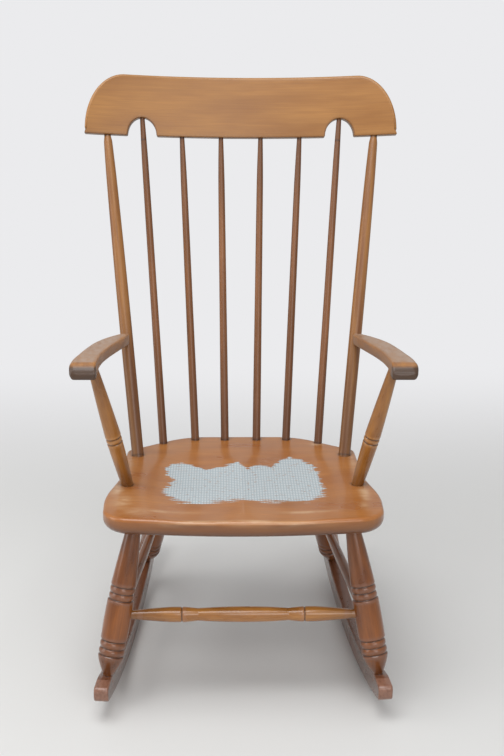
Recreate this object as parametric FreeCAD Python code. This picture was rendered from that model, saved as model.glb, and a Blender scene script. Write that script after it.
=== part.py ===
import FreeCAD, Part
import math
import os

os.makedirs("parts", exist_ok=True)

Vec = FreeCAD.Vector

# Rocking chair with a spindle back, in millimetres.
# The sitter faces -Y, the sitter's left is +X, Z is up. One side is modelled, and mirrored
# across X = 0. The chair is drawn with its rockers touching the floor under their middle,
# then rolled forward to where it balances, as it stands when empty.

# Fits of the glued joints
joint_gap = 0.1            # all round a tenon in its socket
end_gap = 0.3              # between a tenon's end and the bottom of its socket
surface_gap = 0.2          # where an arm is coped against its back post

# Rockers
rocker_length = 755.0
rocker_thickness = 27.0
rocker_height = 38.0
rocker_radius = 1230.0     # of the running edge
rocker_touch_y = 15.5      # where they touch the floor as drawn
rocker_half_gauge = 228.9  # from the middle to a rocker's centre line, at Y = 0
rocker_toe_in = 4.52       # the pair comes closer together to the rear, degrees
rocker_edge_ease = 2.5
toe_taper_length = 42.0    # over its last stretch in front the rocker gets lower
toe_height = 27.0
toe_taper_round = 80.0
toe_top_round = 13.0
toe_bottom_round = 8.0
tail_top_round = 26.0
tail_bottom_round = 8.0
rest_roll = 2.75           # forward from the drawn position, centre of gravity over the floor line
rest_shift_y = -55.6       # puts the origin under the middle of the overall length

# Seat, measured in its own plane: y runs back from a line near the front edge
seat_front_height = 406.5
seat_datum_y = -327.5
seat_tilt = 3.8            # the back is lower, degrees
seat_thickness = 34.0
seat_front_nose_y = -17.5  # where the two front edges would meet in the middle
seat_front_corner = (252.0, 7.4)
seat_swell = (257.0, 119.0)
seat_waist = (236.0, 218.0)
seat_rear_corner = (233.0, 381.0)
seat_back_shoulder = (193.5, 409.0)
seat_back_quarter = (118.0, 467.0)
seat_front_round = 1300.0
seat_corner_round = 54.0
seat_swell_round = 260.0
seat_waist_round = 240.0
seat_rear_corner_round = 20.0
seat_shoulder_round = 150.0
seat_quarter_round = 130.0
seat_top_edge_round = 9.0
seat_bottom_edge_round = 18.0
scoop_x = 84.0             # the saddle is two shallow hollows, one for each thigh
scoop_y = 172.0
scoop_half_width = 108.0
scoop_half_length = 205.0
scoop_depth = 7.5

# Crest rail, measured in its own plane: z runs up its face from the bottom edge
crest_bottom_y = 315.5
crest_over_seat = 571.1    # its bottom edge in the middle, over the seat's front
crest_tilt = 18.3
crest_height = 125.0
crest_half_length = 320.2
crest_thickness = 20.0
crest_bow_radius = 1050.0  # of its middle surface, the ends come forward
crest_shoulder_width = 80.0
crest_shoulder_drop = 114.0
crest_top_round = 5.0
crest_cutter_depth = 300.0 # of its cutters, more than the bowed board's whole depth
notch_x = 204.7
notch_half_width = 29.5
notch_height = 37.5

# Back posts and spindles: where they leave the seat and where they meet the crest
post_seat = (209.8, 346.9)
post_crest_x = 275.5
post_seat_radius = 12.0
post_belly_radius = 12.5
post_upper_radius = 10.6
post_neck_radius = 8.4
post_tenon_radius = 6.4
post_crest_depth = 27.0
post_seat_depth = 24.0
spindle_seats = [(33.3, 445.4), (95.6, 445.9), (161.8, 423.9)]
spindle_crest_x = [41.5, 122.7, notch_x]
spindle_crest_z = [0.0, 0.0, notch_height]
spindle_seat_radius = 8.3
spindle_belly_radius = 7.5
spindle_upper_radius = 6.7
spindle_tip_radius = 4.8
spindle_neck_length = 95.0
spindle_seat_depth = 20.0
spindle_crest_depth = 22.0

# Arms: plan positions are (x, y), heights are along the middle of the arm
arm_tip_y = 96.5
arm_over_seat = 210.5      # top face at arm_tip_y, over the seat's front
arm_rise = 0.155           # up per millimetre forward
arm_thickness = 21.0
arm_front_y = -257.5
arm_nose_y = -190.0        # forward of this the underside runs level
arm_nose_round = 26.0      # the top rolls over at the front
arm_nose_lift = 2.5
arm_front_corner_round = 7.0
arm_outer_round = 9.5
arm_inner_round = 3.5
arm_tip_drop = 4.0
arm_nose_inner_x = 260.5
arm_nose_outer_x = 308.0
# Plan of the arm behind its nose, station by station
arm_station_y = [-190.0, -139.5, -71.5, 2.5, 59.5, 92.0, 112.0]
arm_inner_x = [260.5, 259.0, 251.5, 239.5, 230.0, 227.0, 230.0]
arm_outer_x = [308.5, 304.5, 298.0, 286.5, 268.0, 252.5, 241.5]

# Arm supports
support_seat = (218.4, 176.6)
support_arm = (270.5, -196.0)
support_seat_radius = 11.5
support_ring_radius = 15.0
support_ring_share = 0.408 # how far up the ring is
support_top_radius = 9.2
support_tenon_radius = 7.0
support_seat_depth = 22.0
support_arm_depth = 14.0
support_groove_depth = 1.6
support_groove_pitch = 10.9

# Legs: seat places are on the underside, foot places are along Y on the rocker
front_leg_seat = (198.3, 80.9)
rear_leg_seat = (145.0, 408.1)
front_foot_y = -326.5
rear_foot_y = 207.0
leg_ankle_radius = 9.0
leg_cone_radius = 22.4
leg_cone_length = 31.0
leg_bead_radius = 24.0
leg_barrel_radius = 24.5
leg_vase_radius = 23.0
leg_seat_radius = 12.0
leg_groove_radius = 21.6
leg_lower_grooves = [40.5, 54.0, 68.0]
leg_upper_grooves = [146.0, 158.5, 171.0]
leg_groove_flank = 2.6
leg_foot_depth = 24.0
leg_seat_depth = 22.0
pin_radius = 3.0           # dowel through each rocker and leg tenon

# Stretchers: heights are where their axes meet the legs' axes
front_stretcher_height = 197.0
rear_stretcher_height = 197.0
side_stretcher_front_height = 176.5
side_stretcher_rear_height = 174.0
stretcher_end_stop = 3.0   # short of the leg's axis
stretcher_end_radius = 8.5
front_stretcher_node = 113.0
front_stretcher_node_radius = 14.0
front_stretcher_waist_radius = 11.4
front_stretcher_middle_radius = 14.4
front_stretcher_swell = 34.0
front_stretcher_groove_depth = 2.0
front_stretcher_groove_pitch = 8.0
side_stretcher_middle_radius = 10.0
side_stretcher_end_radius = 8.0

# Screws that hold the arms to the back posts
screw_below_arm = 13.0     # under the arm's top face at its tip
screw_length = 46.0
screw_radius = 2.2
screw_head_radius = 4.4
screw_head_height = 3.0


def unit(vector):
    return vector * (1.0 / vector.Length)


def along(start, direction):
    """Placement that carries local Z onto a direction."""
    return FreeCAD.Placement(start, FreeCAD.Rotation(Vec(0, 0, 1), direction))


def cylinder(start, direction, radius, length):
    return Part.makeCylinder(radius, length, start, direction)


def mirrored(shape):
    return shape.mirror(Vec(0, 0, 0), Vec(1, 0, 0))


def turned(profile, start, direction):
    """Revolve stations (distance, radius, optional bulge of the arc from the last station)."""
    first = Vec(0, 0, profile[0][0])
    last = Vec(0, 0, profile[-1][0])
    edges = [Part.makeLine(first, Vec(profile[0][1], 0, profile[0][0]))]
    for before, after in zip(profile, profile[1:]):
        low = Vec(before[1], 0, before[0])
        high = Vec(after[1], 0, after[0])
        if len(after) == 3:
            chord = high - low
            outward = unit(Vec(chord.z, 0, -chord.x))
            middle = (low + high) * 0.5 + outward * after[2]
            edges.append(Part.Arc(low, middle, high).toShape())
        else:
            edges.append(Part.makeLine(low, high))
    edges.append(Part.makeLine(Vec(profile[-1][1], 0, profile[-1][0]), last))
    edges.append(Part.makeLine(last, first))
    solid = Part.Face(Part.Wire(edges)).revolve(Vec(0, 0, 0), Vec(0, 0, 1), 360)
    solid.Placement = along(start, direction)
    return solid


def entry(direction, normal, radius):
    """How far outside a face a round tenon has to run straight, when it enters at a slant."""
    cosine = abs(direction.dot(normal))
    return radius * math.sqrt(1.0 / cosine**2 - 1.0) + 0.6


def socket(start, direction, radius, depth, lead):
    """The bore for a tenon that enters at start and goes depth along direction."""
    return cylinder(start - direction * lead, direction, radius + joint_gap, depth + lead + end_gap)


# Seat frame
seat_turn = FreeCAD.Rotation(Vec(1, 0, 0), -seat_tilt)
seat_place = FreeCAD.Placement(Vec(0, seat_datum_y, seat_front_height), seat_turn)
seat_normal = seat_turn.multVec(Vec(0, 0, 1))

# Crest frame
crest_turn = FreeCAD.Rotation(Vec(1, 0, 0), -crest_tilt)
crest_place = FreeCAD.Placement(Vec(0, crest_bottom_y, seat_front_height + crest_over_seat), crest_turn)
crest_up = crest_turn.multVec(Vec(0, 0, 1))


def seat_top(place):
    return seat_place.multVec(Vec(place[0], place[1], 0))


def seat_underside(place):
    return seat_place.multVec(Vec(place[0], place[1], -seat_thickness))


def crest_point(x, z):
    """A point in the middle of the crest's thickness, x out and z up its face."""
    bow = math.sqrt(crest_bow_radius**2 - x**2) - crest_bow_radius
    return crest_place.multVec(Vec(x, bow, z))


def arm_top_height(y):
    return seat_front_height + arm_over_seat + arm_rise * (arm_tip_y - y)


def arm_underside_height(y):
    return arm_top_height(max(y, arm_nose_y)) - arm_thickness


# Rocker frame: u runs back along the rocker's centre line
rocker_turn = FreeCAD.Rotation(Vec(0, 0, 1), rocker_toe_in)
rocker_run = rocker_turn.multVec(Vec(0, 1, 0))
rocker_side = rocker_turn.multVec(Vec(1, 0, 0))
rocker_middle = Vec(rocker_half_gauge, 0, 0)


def rocker_point(y, share):
    """A point on the rocker's centre line at a Y, a share of its height up from the floor edge."""
    u = y / rocker_run.y
    radius = rocker_radius - share * rocker_height
    drop = math.sqrt(radius**2 - (u - rocker_touch_y)**2)
    return rocker_middle + rocker_run * u + Vec(0, 0, rocker_radius - drop)


def rocker_top_distance(aim, direction):
    """Distance along a leg's axis from its aim inside the rocker to the rocker's top edge."""
    u = (aim - rocker_middle).dot(rocker_run) - rocker_touch_y
    z = aim.z - rocker_radius
    du = direction.dot(rocker_run)
    a = du**2 + direction.z**2
    b = u * du + z * direction.z
    c = u**2 + z**2 - (rocker_radius - rocker_height)**2
    return (-b - math.sqrt(b**2 - a * c)) / a


def rocker_normal(point):
    u = (point - rocker_middle).dot(rocker_run) - rocker_touch_y
    return unit(Vec(0, 0, rocker_radius - point.z) - rocker_run * u)


class Member:
    """A turned piece between two faces, with the axis and length that its joints share."""

    def __init__(self, start, end):
        self.start = start
        self.end = end
        self.length = (end - start).Length
        self.direction = unit(end - start)

    def at_height(self, z):
        return self.start + self.direction * ((z - self.start.z) / self.direction.z)


def leg_between(foot_y, seat_spot):
    aim = rocker_point(foot_y, 0.5)
    top = seat_underside(seat_spot)
    direction = unit(top - aim)
    foot = aim + direction * rocker_top_distance(aim, direction)
    return Member(foot, top)


front_leg = leg_between(front_foot_y, front_leg_seat)
rear_leg = leg_between(rear_foot_y, rear_leg_seat)
post = Member(seat_top(post_seat), crest_point(post_crest_x, 0))
spindles = []
for spot, crest_x, crest_z in zip(spindle_seats, spindle_crest_x, spindle_crest_z):
    spindles.append(Member(seat_top(spot), crest_point(crest_x, crest_z)))
support_end = Vec(support_arm[0], support_arm[1], arm_underside_height(support_arm[1]))
support = Member(seat_top(support_seat), support_end)


def stretcher_between(start, end):
    """A stretcher whose ends stop just short of the two legs' axes."""
    run = unit(end - start)
    return Member(start + run * stretcher_end_stop, end - run * stretcher_end_stop)


def other_side(point):
    return Vec(-point.x, point.y, point.z)


front_joint = front_leg.at_height(front_stretcher_height)
front_stretcher = stretcher_between(other_side(front_joint), front_joint)
rear_joint = rear_leg.at_height(rear_stretcher_height)
rear_stretcher = stretcher_between(other_side(rear_joint), rear_joint)
side_stretcher = stretcher_between(front_leg.at_height(side_stretcher_front_height),
                                   rear_leg.at_height(side_stretcher_rear_height))


# Turned pieces

def leg_profile(leg):
    """Ankle, cone, ring of beads, barrel, second ring of beads, then a taper up to the seat."""
    ankle = entry(leg.direction, rocker_normal(leg.start), leg_ankle_radius)
    seat_lead = entry(leg.direction, seat_normal, leg_seat_radius)
    low = leg_lower_grooves
    high = leg_upper_grooves
    bead = leg_bead_radius - leg_groove_radius
    ring = leg_vase_radius - leg_groove_radius + 0.4
    return [
        (-leg_foot_depth, leg_ankle_radius),
        (ankle, leg_ankle_radius),
        (leg_cone_length, leg_cone_radius),
        (low[0] - leg_groove_flank, leg_bead_radius),
        (low[0], leg_groove_radius),
        (low[1], leg_groove_radius, bead),
        (low[2], leg_groove_radius, bead),
        (low[2] + leg_groove_flank, leg_barrel_radius),
        (high[0] - leg_groove_flank, leg_barrel_radius),
        (high[0], leg_groove_radius),
        (high[1], leg_groove_radius, ring),
        (high[2], leg_groove_radius, ring),
        (high[2] + leg_groove_flank, leg_vase_radius),
        (leg.length - seat_lead, leg_seat_radius),
        (leg.length + leg_seat_depth, leg_seat_radius),
    ]


def post_profile():
    lead = entry(post.direction, seat_normal, post_seat_radius)
    tenon_lead = entry(post.direction, crest_up, post_tenon_radius)
    return [
        (-post_seat_depth, post_seat_radius),
        (lead, post_seat_radius),
        (post.length * 0.42, post_belly_radius),
        (post.length * 0.85, post_upper_radius),
        (post.length - tenon_lead - 7.0, post_neck_radius),
        (post.length - tenon_lead, post_tenon_radius),
        (post.length + post_crest_depth, post_tenon_radius),
    ]


def spindle_profile(spindle):
    lead = entry(spindle.direction, seat_normal, spindle_seat_radius)
    tenon_lead = entry(spindle.direction, crest_up, spindle_tip_radius)
    return [
        (-spindle_seat_depth, spindle_seat_radius),
        (lead, spindle_seat_radius),
        (spindle.length * 0.45, spindle_belly_radius),
        (spindle.length - spindle_neck_length, spindle_upper_radius),
        (spindle.length - tenon_lead, spindle_tip_radius),
        (spindle.length + spindle_crest_depth, spindle_tip_radius),
    ]


def support_profile():
    """A baluster: swells to a ring with two grooves, then tapers to the arm."""
    lead = entry(support.direction, seat_normal, support_seat_radius)
    tenon_lead = entry(support.direction, Vec(0, 0, 1), support_tenon_radius)
    ring = support.length * support_ring_share
    half = support_groove_pitch * 0.5
    groove = support_ring_radius - support_groove_depth
    return [
        (-support_seat_depth, support_seat_radius),
        (lead, support_seat_radius),
        (ring - half - 5.0, support_ring_radius - 0.4),
        (ring - half - 1.8, support_ring_radius),
        (ring - half, groove),
        (ring + half, groove, support_groove_depth),
        (ring + half + 1.8, support_ring_radius),
        (support.length - tenon_lead - 1.0, support_top_radius),
        (support.length - tenon_lead, support_tenon_radius),
        (support.length + support_arm_depth, support_tenon_radius),
    ]


def front_stretcher_profile():
    """Symmetric turning: two grooved nodes with a swelling between them."""
    half = front_stretcher.length * 0.5
    leg_surface = half - leg_vase_radius - 4.0
    node = front_stretcher_node
    pitch = front_stretcher_groove_pitch * 0.5
    radius = front_stretcher_node_radius
    groove = radius - front_stretcher_groove_depth
    outer = [
        (0.0, front_stretcher_middle_radius),
        (front_stretcher_swell, front_stretcher_middle_radius - 0.5),
        (node - 30.0, front_stretcher_waist_radius),
        (node - pitch - 3.0, radius - 0.8),
        (node - pitch - 1.5, radius),
        (node - pitch, groove),
        (node + pitch, groove),
        (node + pitch + 1.5, radius),
        (node + pitch + 18.0, radius),
        (leg_surface, stretcher_end_radius),
        (half, stretcher_end_radius),
    ]
    first_half = [(half - distance, turned_radius) for distance, turned_radius in reversed(outer)]
    second_half = [(half + distance, turned_radius) for distance, turned_radius in outer[1:]]
    return first_half + second_half


def plain_stretcher_profile(member):
    """Straight where it sits in the legs, with a long gentle swelling between them."""
    hidden = leg_barrel_radius + 4.0
    swell = side_stretcher_middle_radius - side_stretcher_end_radius
    return [
        (0.0, side_stretcher_end_radius),
        (hidden, side_stretcher_end_radius),
        (member.length - hidden, side_stretcher_end_radius, swell),
        (member.length, side_stretcher_end_radius),
    ]


# Seat

def rounded_outline(corners):
    """Closed wire of straight runs joined by tangent arcs, from (x, y, radius) corners."""
    edges = []
    ends = []
    count = len(corners)
    for index, corner in enumerate(corners):
        here = Vec(corner[0], corner[1], 0)
        before = corners[index - 1]
        after = corners[(index + 1) % count]
        back = unit(Vec(before[0], before[1], 0) - here)
        ahead = unit(Vec(after[0], after[1], 0) - here)
        half_angle = 0.5 * math.acos(max(-1.0, min(1.0, back.dot(ahead))))
        reach = corner[2] / math.tan(half_angle)
        bisector = unit(back + ahead)
        middle = here + bisector * (corner[2] / math.sin(half_angle) - corner[2])
        ends.append((here + back * reach, middle, here + ahead * reach))
    for index in range(count):
        start, middle, end = ends[index]
        edges.append(Part.Arc(start, middle, end).toShape())
        edges.append(Part.makeLine(end, ends[(index + 1) % count][0]))
    return Part.Wire(edges)


def thigh_hollow(side):
    """Cutter for one hollow: a ring surface, tight across the seat and flat along it."""
    across = (scoop_half_width**2 + scoop_depth**2) / (2 * scoop_depth)
    lengthwise = (scoop_half_length**2 + scoop_depth**2) / (2 * scoop_depth)
    ring = Part.makeTorus(lengthwise - across, across, Vec(0, 0, 0), Vec(1, 0, 0), -180, 180, 360)
    ring.translate(Vec(side * scoop_x, scoop_y, lengthwise - scoop_depth))
    reach = Part.makeBox(3 * scoop_half_width, 3 * scoop_half_length, 5 * scoop_depth,
                         Vec(side * scoop_x - 1.5 * scoop_half_width,
                             scoop_y - 1.5 * scoop_half_length, -3 * scoop_depth))
    return ring.common(reach)


def make_seat():
    right_half = [
        seat_front_corner + (seat_corner_round,),
        seat_swell + (seat_swell_round,),
        seat_waist + (seat_waist_round,),
        seat_rear_corner + (seat_rear_corner_round,),
        seat_back_shoulder + (seat_shoulder_round,),
        seat_back_quarter + (seat_quarter_round,),
    ]
    left_half = [(-x, y, radius) for x, y, radius in reversed(right_half)]
    corners = [(0.0, seat_front_nose_y, seat_front_round)] + right_half + left_half
    outline = rounded_outline(corners)
    blank = Part.Face(outline).extrude(Vec(0, 0, -seat_thickness))
    top_edges = [edge for edge in blank.Edges if edge.BoundBox.ZMin > -0.01]
    blank = blank.makeFillet(seat_top_edge_round, top_edges)
    bottom_edges = [edge for edge in blank.Edges if edge.BoundBox.ZMax < 0.01 - seat_thickness]
    blank = blank.makeFillet(seat_bottom_edge_round, bottom_edges)
    for side in (-1, 1):
        blank = blank.cut(thigh_hollow(side))
    blank.Placement = seat_place
    cutters = []
    for leg in (front_leg, rear_leg):
        lead = entry(leg.direction, seat_normal, leg_seat_radius)
        cutters.append(socket(leg.end, leg.direction, leg_seat_radius, leg_seat_depth, lead))
    from_above = [(post, post_seat_radius, post_seat_depth)]
    from_above += [(spindle, spindle_seat_radius, spindle_seat_depth) for spindle in spindles]
    from_above.append((support, support_seat_radius, support_seat_depth))
    for member, radius, depth in from_above:
        lead = entry(member.direction, seat_normal, radius)
        cutters.append(socket(member.start, member.direction * -1, radius, depth, lead))
    for cutter in cutters:
        blank = blank.cut(cutter)
        blank = blank.cut(mirrored(cutter))
    return blank


# Crest rail

def elliptic_prism(x, z, half_width, half_height):
    """A prism along Y that covers any bow of the crest rail."""
    if half_width > half_height:
        major, minor, towards = half_width, half_height, Vec(1, 0, 0)
    else:
        major, minor, towards = half_height, half_width, Vec(0, 0, 1)
    curve = Part.Ellipse(Vec(0, 0, 0), major, minor)
    face = Part.Face(Part.Wire(curve.toShape()))
    across = Vec(0, 1, 0).cross(towards)
    turn = FreeCAD.Rotation(towards, across, Vec(0, 1, 0), "ZXY")
    face.Placement = FreeCAD.Placement(Vec(x, -0.5 * crest_cutter_depth, z), turn)
    return face.extrude(Vec(0, crest_cutter_depth, 0))


def make_crest():
    half_thickness = crest_thickness * 0.5
    bow_centre = Vec(0, -crest_bow_radius, 0)
    outer = Part.makeCylinder(crest_bow_radius + half_thickness, crest_height, bow_centre)
    inner = Part.makeCylinder(crest_bow_radius - half_thickness, crest_height, bow_centre)
    window = Part.makeBox(2 * crest_half_length, crest_cutter_depth, crest_height,
                          Vec(-crest_half_length, -0.7 * crest_cutter_depth, 0))
    board = outer.cut(inner).common(window)
    shoulder_x = crest_half_length - crest_shoulder_width
    shoulder_z = crest_height - crest_shoulder_drop
    corner = Part.makeBox(crest_shoulder_width + 5, crest_cutter_depth, crest_shoulder_drop + 5,
                          Vec(shoulder_x, -0.5 * crest_cutter_depth, shoulder_z))
    corner = corner.cut(elliptic_prism(shoulder_x, shoulder_z, crest_shoulder_width,
                                       crest_shoulder_drop))
    notch = elliptic_prism(notch_x, 0, notch_half_width, notch_height)
    for cutter in (corner, notch):
        board = board.cut(cutter)
        board = board.cut(mirrored(cutter))
    top_edges = []
    for edge in board.Edges:
        box = edge.BoundBox
        runs_through = box.YLength > crest_thickness * 0.8 and box.XLength < crest_thickness
        if box.ZMax > crest_height - 0.01 and not runs_through:
            top_edges.append(edge)
    board = board.makeFillet(crest_top_round, top_edges)
    board.Placement = crest_place
    cutters = [socket(post.end, post.direction, post_tenon_radius, post_crest_depth, 12)]
    for spindle in spindles:
        cutters.append(socket(spindle.end, spindle.direction, spindle_tip_radius,
                              spindle_crest_depth, 12))
    for cutter in cutters:
        board = board.cut(cutter)
        board = board.cut(mirrored(cutter))
    return board


# Arms

def arm_section(y, inner, outer, drop, lift):
    """Cross-section of the arm: half round along its outer edge, just eased along its inner one."""
    low = arm_underside_height(y) + lift
    high = arm_top_height(y) - drop
    height = high - low
    outer_round = min(arm_outer_round, 0.45 * height, 0.45 * (outer - inner))
    inner_round = min(arm_inner_round, 0.45 * height)
    corners = [
        (inner, low, inner_round),
        (outer, low, outer_round),
        (outer, high, outer_round),
        (inner, high, inner_round),
    ]
    section = rounded_outline(corners)
    section.Placement = FreeCAD.Placement(Vec(0, y, 0), FreeCAD.Rotation(Vec(1, 0, 0), 90))
    return section


def make_arm():
    sections = []
    for share in (0.0, 0.07, 0.25, 0.55, 1.0):
        rest = 1.0 - share
        roll = arm_nose_round * (1.0 - math.sqrt(1.0 - rest**2))
        corner = arm_front_corner_round * (1.0 - math.sqrt(1.0 - rest**3))
        y = arm_front_y + share * arm_nose_round
        sections.append(arm_section(y, arm_nose_inner_x, arm_nose_outer_x - corner,
                                    min(roll, 0.75 * arm_nose_round), arm_nose_lift * rest**4))
    for y, inner, outer in zip(arm_station_y, arm_inner_x, arm_outer_x):
        ease = arm_tip_drop if y == arm_station_y[-1] else 0.0
        sections.append(arm_section(y, inner, outer, ease, ease))
    arm = Part.makeLoft(sections, True, True)
    cope = cylinder(post.start, post.direction, post_belly_radius + surface_gap, post.length)
    arm = arm.cut(cope)
    arm = arm.cut(socket(support.end, support.direction, support_tenon_radius,
                         support_arm_depth, 8))
    return arm


def make_rocker():
    half = rocker_length * 0.5
    centre = Vec(0, rocker_touch_y, rocker_radius)

    def rim(y, radius):
        return Vec(0, y, rocker_radius - math.sqrt(radius**2 - (y - rocker_touch_y)**2))

    top_radius = rocker_radius - rocker_height
    bottom = Part.Arc(rim(-half, rocker_radius), rim(0, rocker_radius), rim(half, rocker_radius))
    taper_start = rim(toe_taper_length - half, top_radius)
    toe_top = rim(-half, rocker_radius - toe_height)
    top = Part.Arc(rim(half, top_radius), rim(0, top_radius), taper_start)
    tail = Part.makeLine(rim(half, rocker_radius), rim(half, top_radius))
    taper = Part.makeLine(taper_start, toe_top)
    toe = Part.makeLine(toe_top, rim(-half, rocker_radius))
    wire = Part.Wire([bottom.toShape(), tail, top.toShape(), taper, toe])
    rocker = Part.Face(wire).extrude(Vec(rocker_thickness, 0, 0))
    rocker.translate(Vec(-rocker_thickness * 0.5, 0, 0))
    for corner, radius in ((taper_start, toe_taper_round),
                           (toe_top, toe_top_round),
                           (rim(-half, rocker_radius), toe_bottom_round),
                           (rim(half, top_radius), tail_top_round),
                           (rim(half, rocker_radius), tail_bottom_round)):
        picked = []
        for edge in rocker.Edges:
            middle = edge.CenterOfMass
            if abs(middle.y - corner.y) < 0.1 and abs(middle.z - corner.z) < 0.1:
                picked.append(edge)
        rocker = rocker.makeFillet(radius, picked)
    side_edges = [edge for edge in rocker.Edges if edge.BoundBox.XLength < 0.1]
    rocker = rocker.makeChamfer(rocker_edge_ease, side_edges)
    rocker.Placement = FreeCAD.Placement(rocker_middle, rocker_turn)
    return rocker


def tenon_pin(leg):
    """A dowel straight across the rocker, through the middle of the leg's tenon."""
    middle = leg.start - leg.direction * (leg_foot_depth * 0.5)
    length = rocker_thickness - 2 * joint_gap
    off_centre = (middle - rocker_middle).dot(rocker_side)
    start = middle - rocker_side * (off_centre + length * 0.5)
    return Member(start, start + rocker_side * length)


# Screws and pins

def arm_screw():
    """Countersunk wood screw from behind a back post into the arm."""
    centre = post.at_height(seat_front_height + arm_over_seat - screw_below_arm)
    arm_run = unit(Vec(arm_inner_x[3] + arm_outer_x[3] - arm_inner_x[5] - arm_outer_x[5],
                       2 * (arm_station_y[3] - arm_station_y[5]), 0))
    direction = unit(Vec(arm_run.x, arm_run.y, arm_rise))
    slant = abs(direction.dot(post.direction))
    back = post_belly_radius / math.sqrt(1.0 - slant**2)
    head = centre - direction * (back - 0.5)
    cone_end = head + direction * screw_head_height
    cone = Part.makeCone(screw_head_radius, screw_radius, screw_head_height, head, direction)
    shank = cylinder(cone_end, direction, screw_radius, screw_length - screw_head_height)
    hole = cylinder(head - direction * 4, direction, screw_radius + joint_gap,
                    screw_length + 4 + end_gap)
    sink = Part.makeCone(screw_head_radius + joint_gap, screw_radius + joint_gap,
                         screw_head_height, head, direction)
    mouth = cylinder(head - direction * 8, direction, screw_head_radius + joint_gap, 8)
    return cone.fuse(shank).removeSplitter(), hole.fuse(sink).fuse(mouth)


def cut_all(shape, cutters):
    for cutter in cutters:
        shape = shape.cut(cutter)
    return shape


screw, screw_hole = arm_screw()
front_pin = tenon_pin(front_leg)
rear_pin = tenon_pin(rear_leg)
pin_holes = []
for pin in (front_pin, rear_pin):
    pin_holes.append(cylinder(pin.start - rocker_side * 5, rocker_side, pin_radius + joint_gap,
                              pin.length + 10))

stretcher_sockets = []
for member, radius in ((front_stretcher, stretcher_end_radius),
                       (rear_stretcher, side_stretcher_end_radius)):
    stretcher_sockets.append(cylinder(member.end + Vec(end_gap, 0, 0), Vec(-1, 0, 0),
                                      radius + joint_gap, leg_barrel_radius + 30))
side_front = cylinder(side_stretcher.start - side_stretcher.direction * end_gap,
                      side_stretcher.direction, side_stretcher_end_radius + joint_gap,
                      leg_barrel_radius + 30)
side_rear = cylinder(side_stretcher.end + side_stretcher.direction * end_gap,
                     side_stretcher.direction * -1, side_stretcher_end_radius + joint_gap,
                     leg_barrel_radius + 30)

front_leg_solid = turned(leg_profile(front_leg), front_leg.start, front_leg.direction)
front_leg_solid = cut_all(front_leg_solid, [stretcher_sockets[0], side_front, pin_holes[0]])
rear_leg_solid = turned(leg_profile(rear_leg), rear_leg.start, rear_leg.direction)
rear_leg_solid = cut_all(rear_leg_solid, [stretcher_sockets[1], side_rear, pin_holes[1]])

rocker_cutters = list(pin_holes)
for leg in (front_leg, rear_leg):
    lead = entry(leg.direction, rocker_normal(leg.start), leg_ankle_radius)
    rocker_cutters.append(socket(leg.start, leg.direction * -1, leg_ankle_radius,
                                 leg_foot_depth, lead + 2))
rocker = cut_all(make_rocker(), rocker_cutters)

post_solid = turned(post_profile(), post.start, post.direction).cut(screw_hole)
arm = make_arm().cut(screw_hole)

one_side = {
    "back_post": post_solid,
    "arm": arm,
    "arm_support": turned(support_profile(), support.start, support.direction),
    "front_leg": front_leg_solid,
    "rear_leg": rear_leg_solid,
    "side_stretcher": turned(plain_stretcher_profile(side_stretcher), side_stretcher.start,
                             side_stretcher.direction),
    "rocker": rocker,
}

nodes = {"seat": make_seat(), "crest_rail": make_crest()}
for name, shape in one_side.items():
    nodes["left_" + name] = shape
    nodes["right_" + name] = mirrored(shape)

spindle_solids = []
for spindle in spindles:
    spindle_solids.append(turned(spindle_profile(spindle), spindle.start, spindle.direction))
across = [mirrored(shape) for shape in reversed(spindle_solids)] + spindle_solids
for number, shape in enumerate(across, start=1):
    nodes["spindle_" + str(number)] = shape

nodes["front_stretcher"] = turned(front_stretcher_profile(), front_stretcher.start,
                                  front_stretcher.direction)
nodes["rear_stretcher"] = turned(plain_stretcher_profile(rear_stretcher), rear_stretcher.start,
                                 rear_stretcher.direction)

pins = []
for pin in (front_pin, rear_pin):
    dowel = cylinder(pin.start, rocker_side, pin_radius, pin.length)
    pins += [dowel, mirrored(dowel)]
nodes["rocker_pins"] = Part.makeCompound(pins)
nodes["arm_screws"] = Part.makeCompound([screw, mirrored(screw)])

# The roll turns the chair about the centre of its rockers' arc, so they stay on the floor
arc_centre = Vec(0, rocker_touch_y, rocker_radius)
rest_turn = FreeCAD.Rotation(Vec(1, 0, 0), rest_roll)
rest_place = FreeCAD.Placement(Vec(0, rest_shift_y, 0), rest_turn, arc_centre)

for name, shape in nodes.items():
    shape.Placement = rest_place.multiply(shape.Placement)
    shape.exportStep("parts/" + name + ".step")
    print(name, len(shape.Solids), round(shape.Volume / 1000.0, 1))
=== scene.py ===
import math

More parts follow.
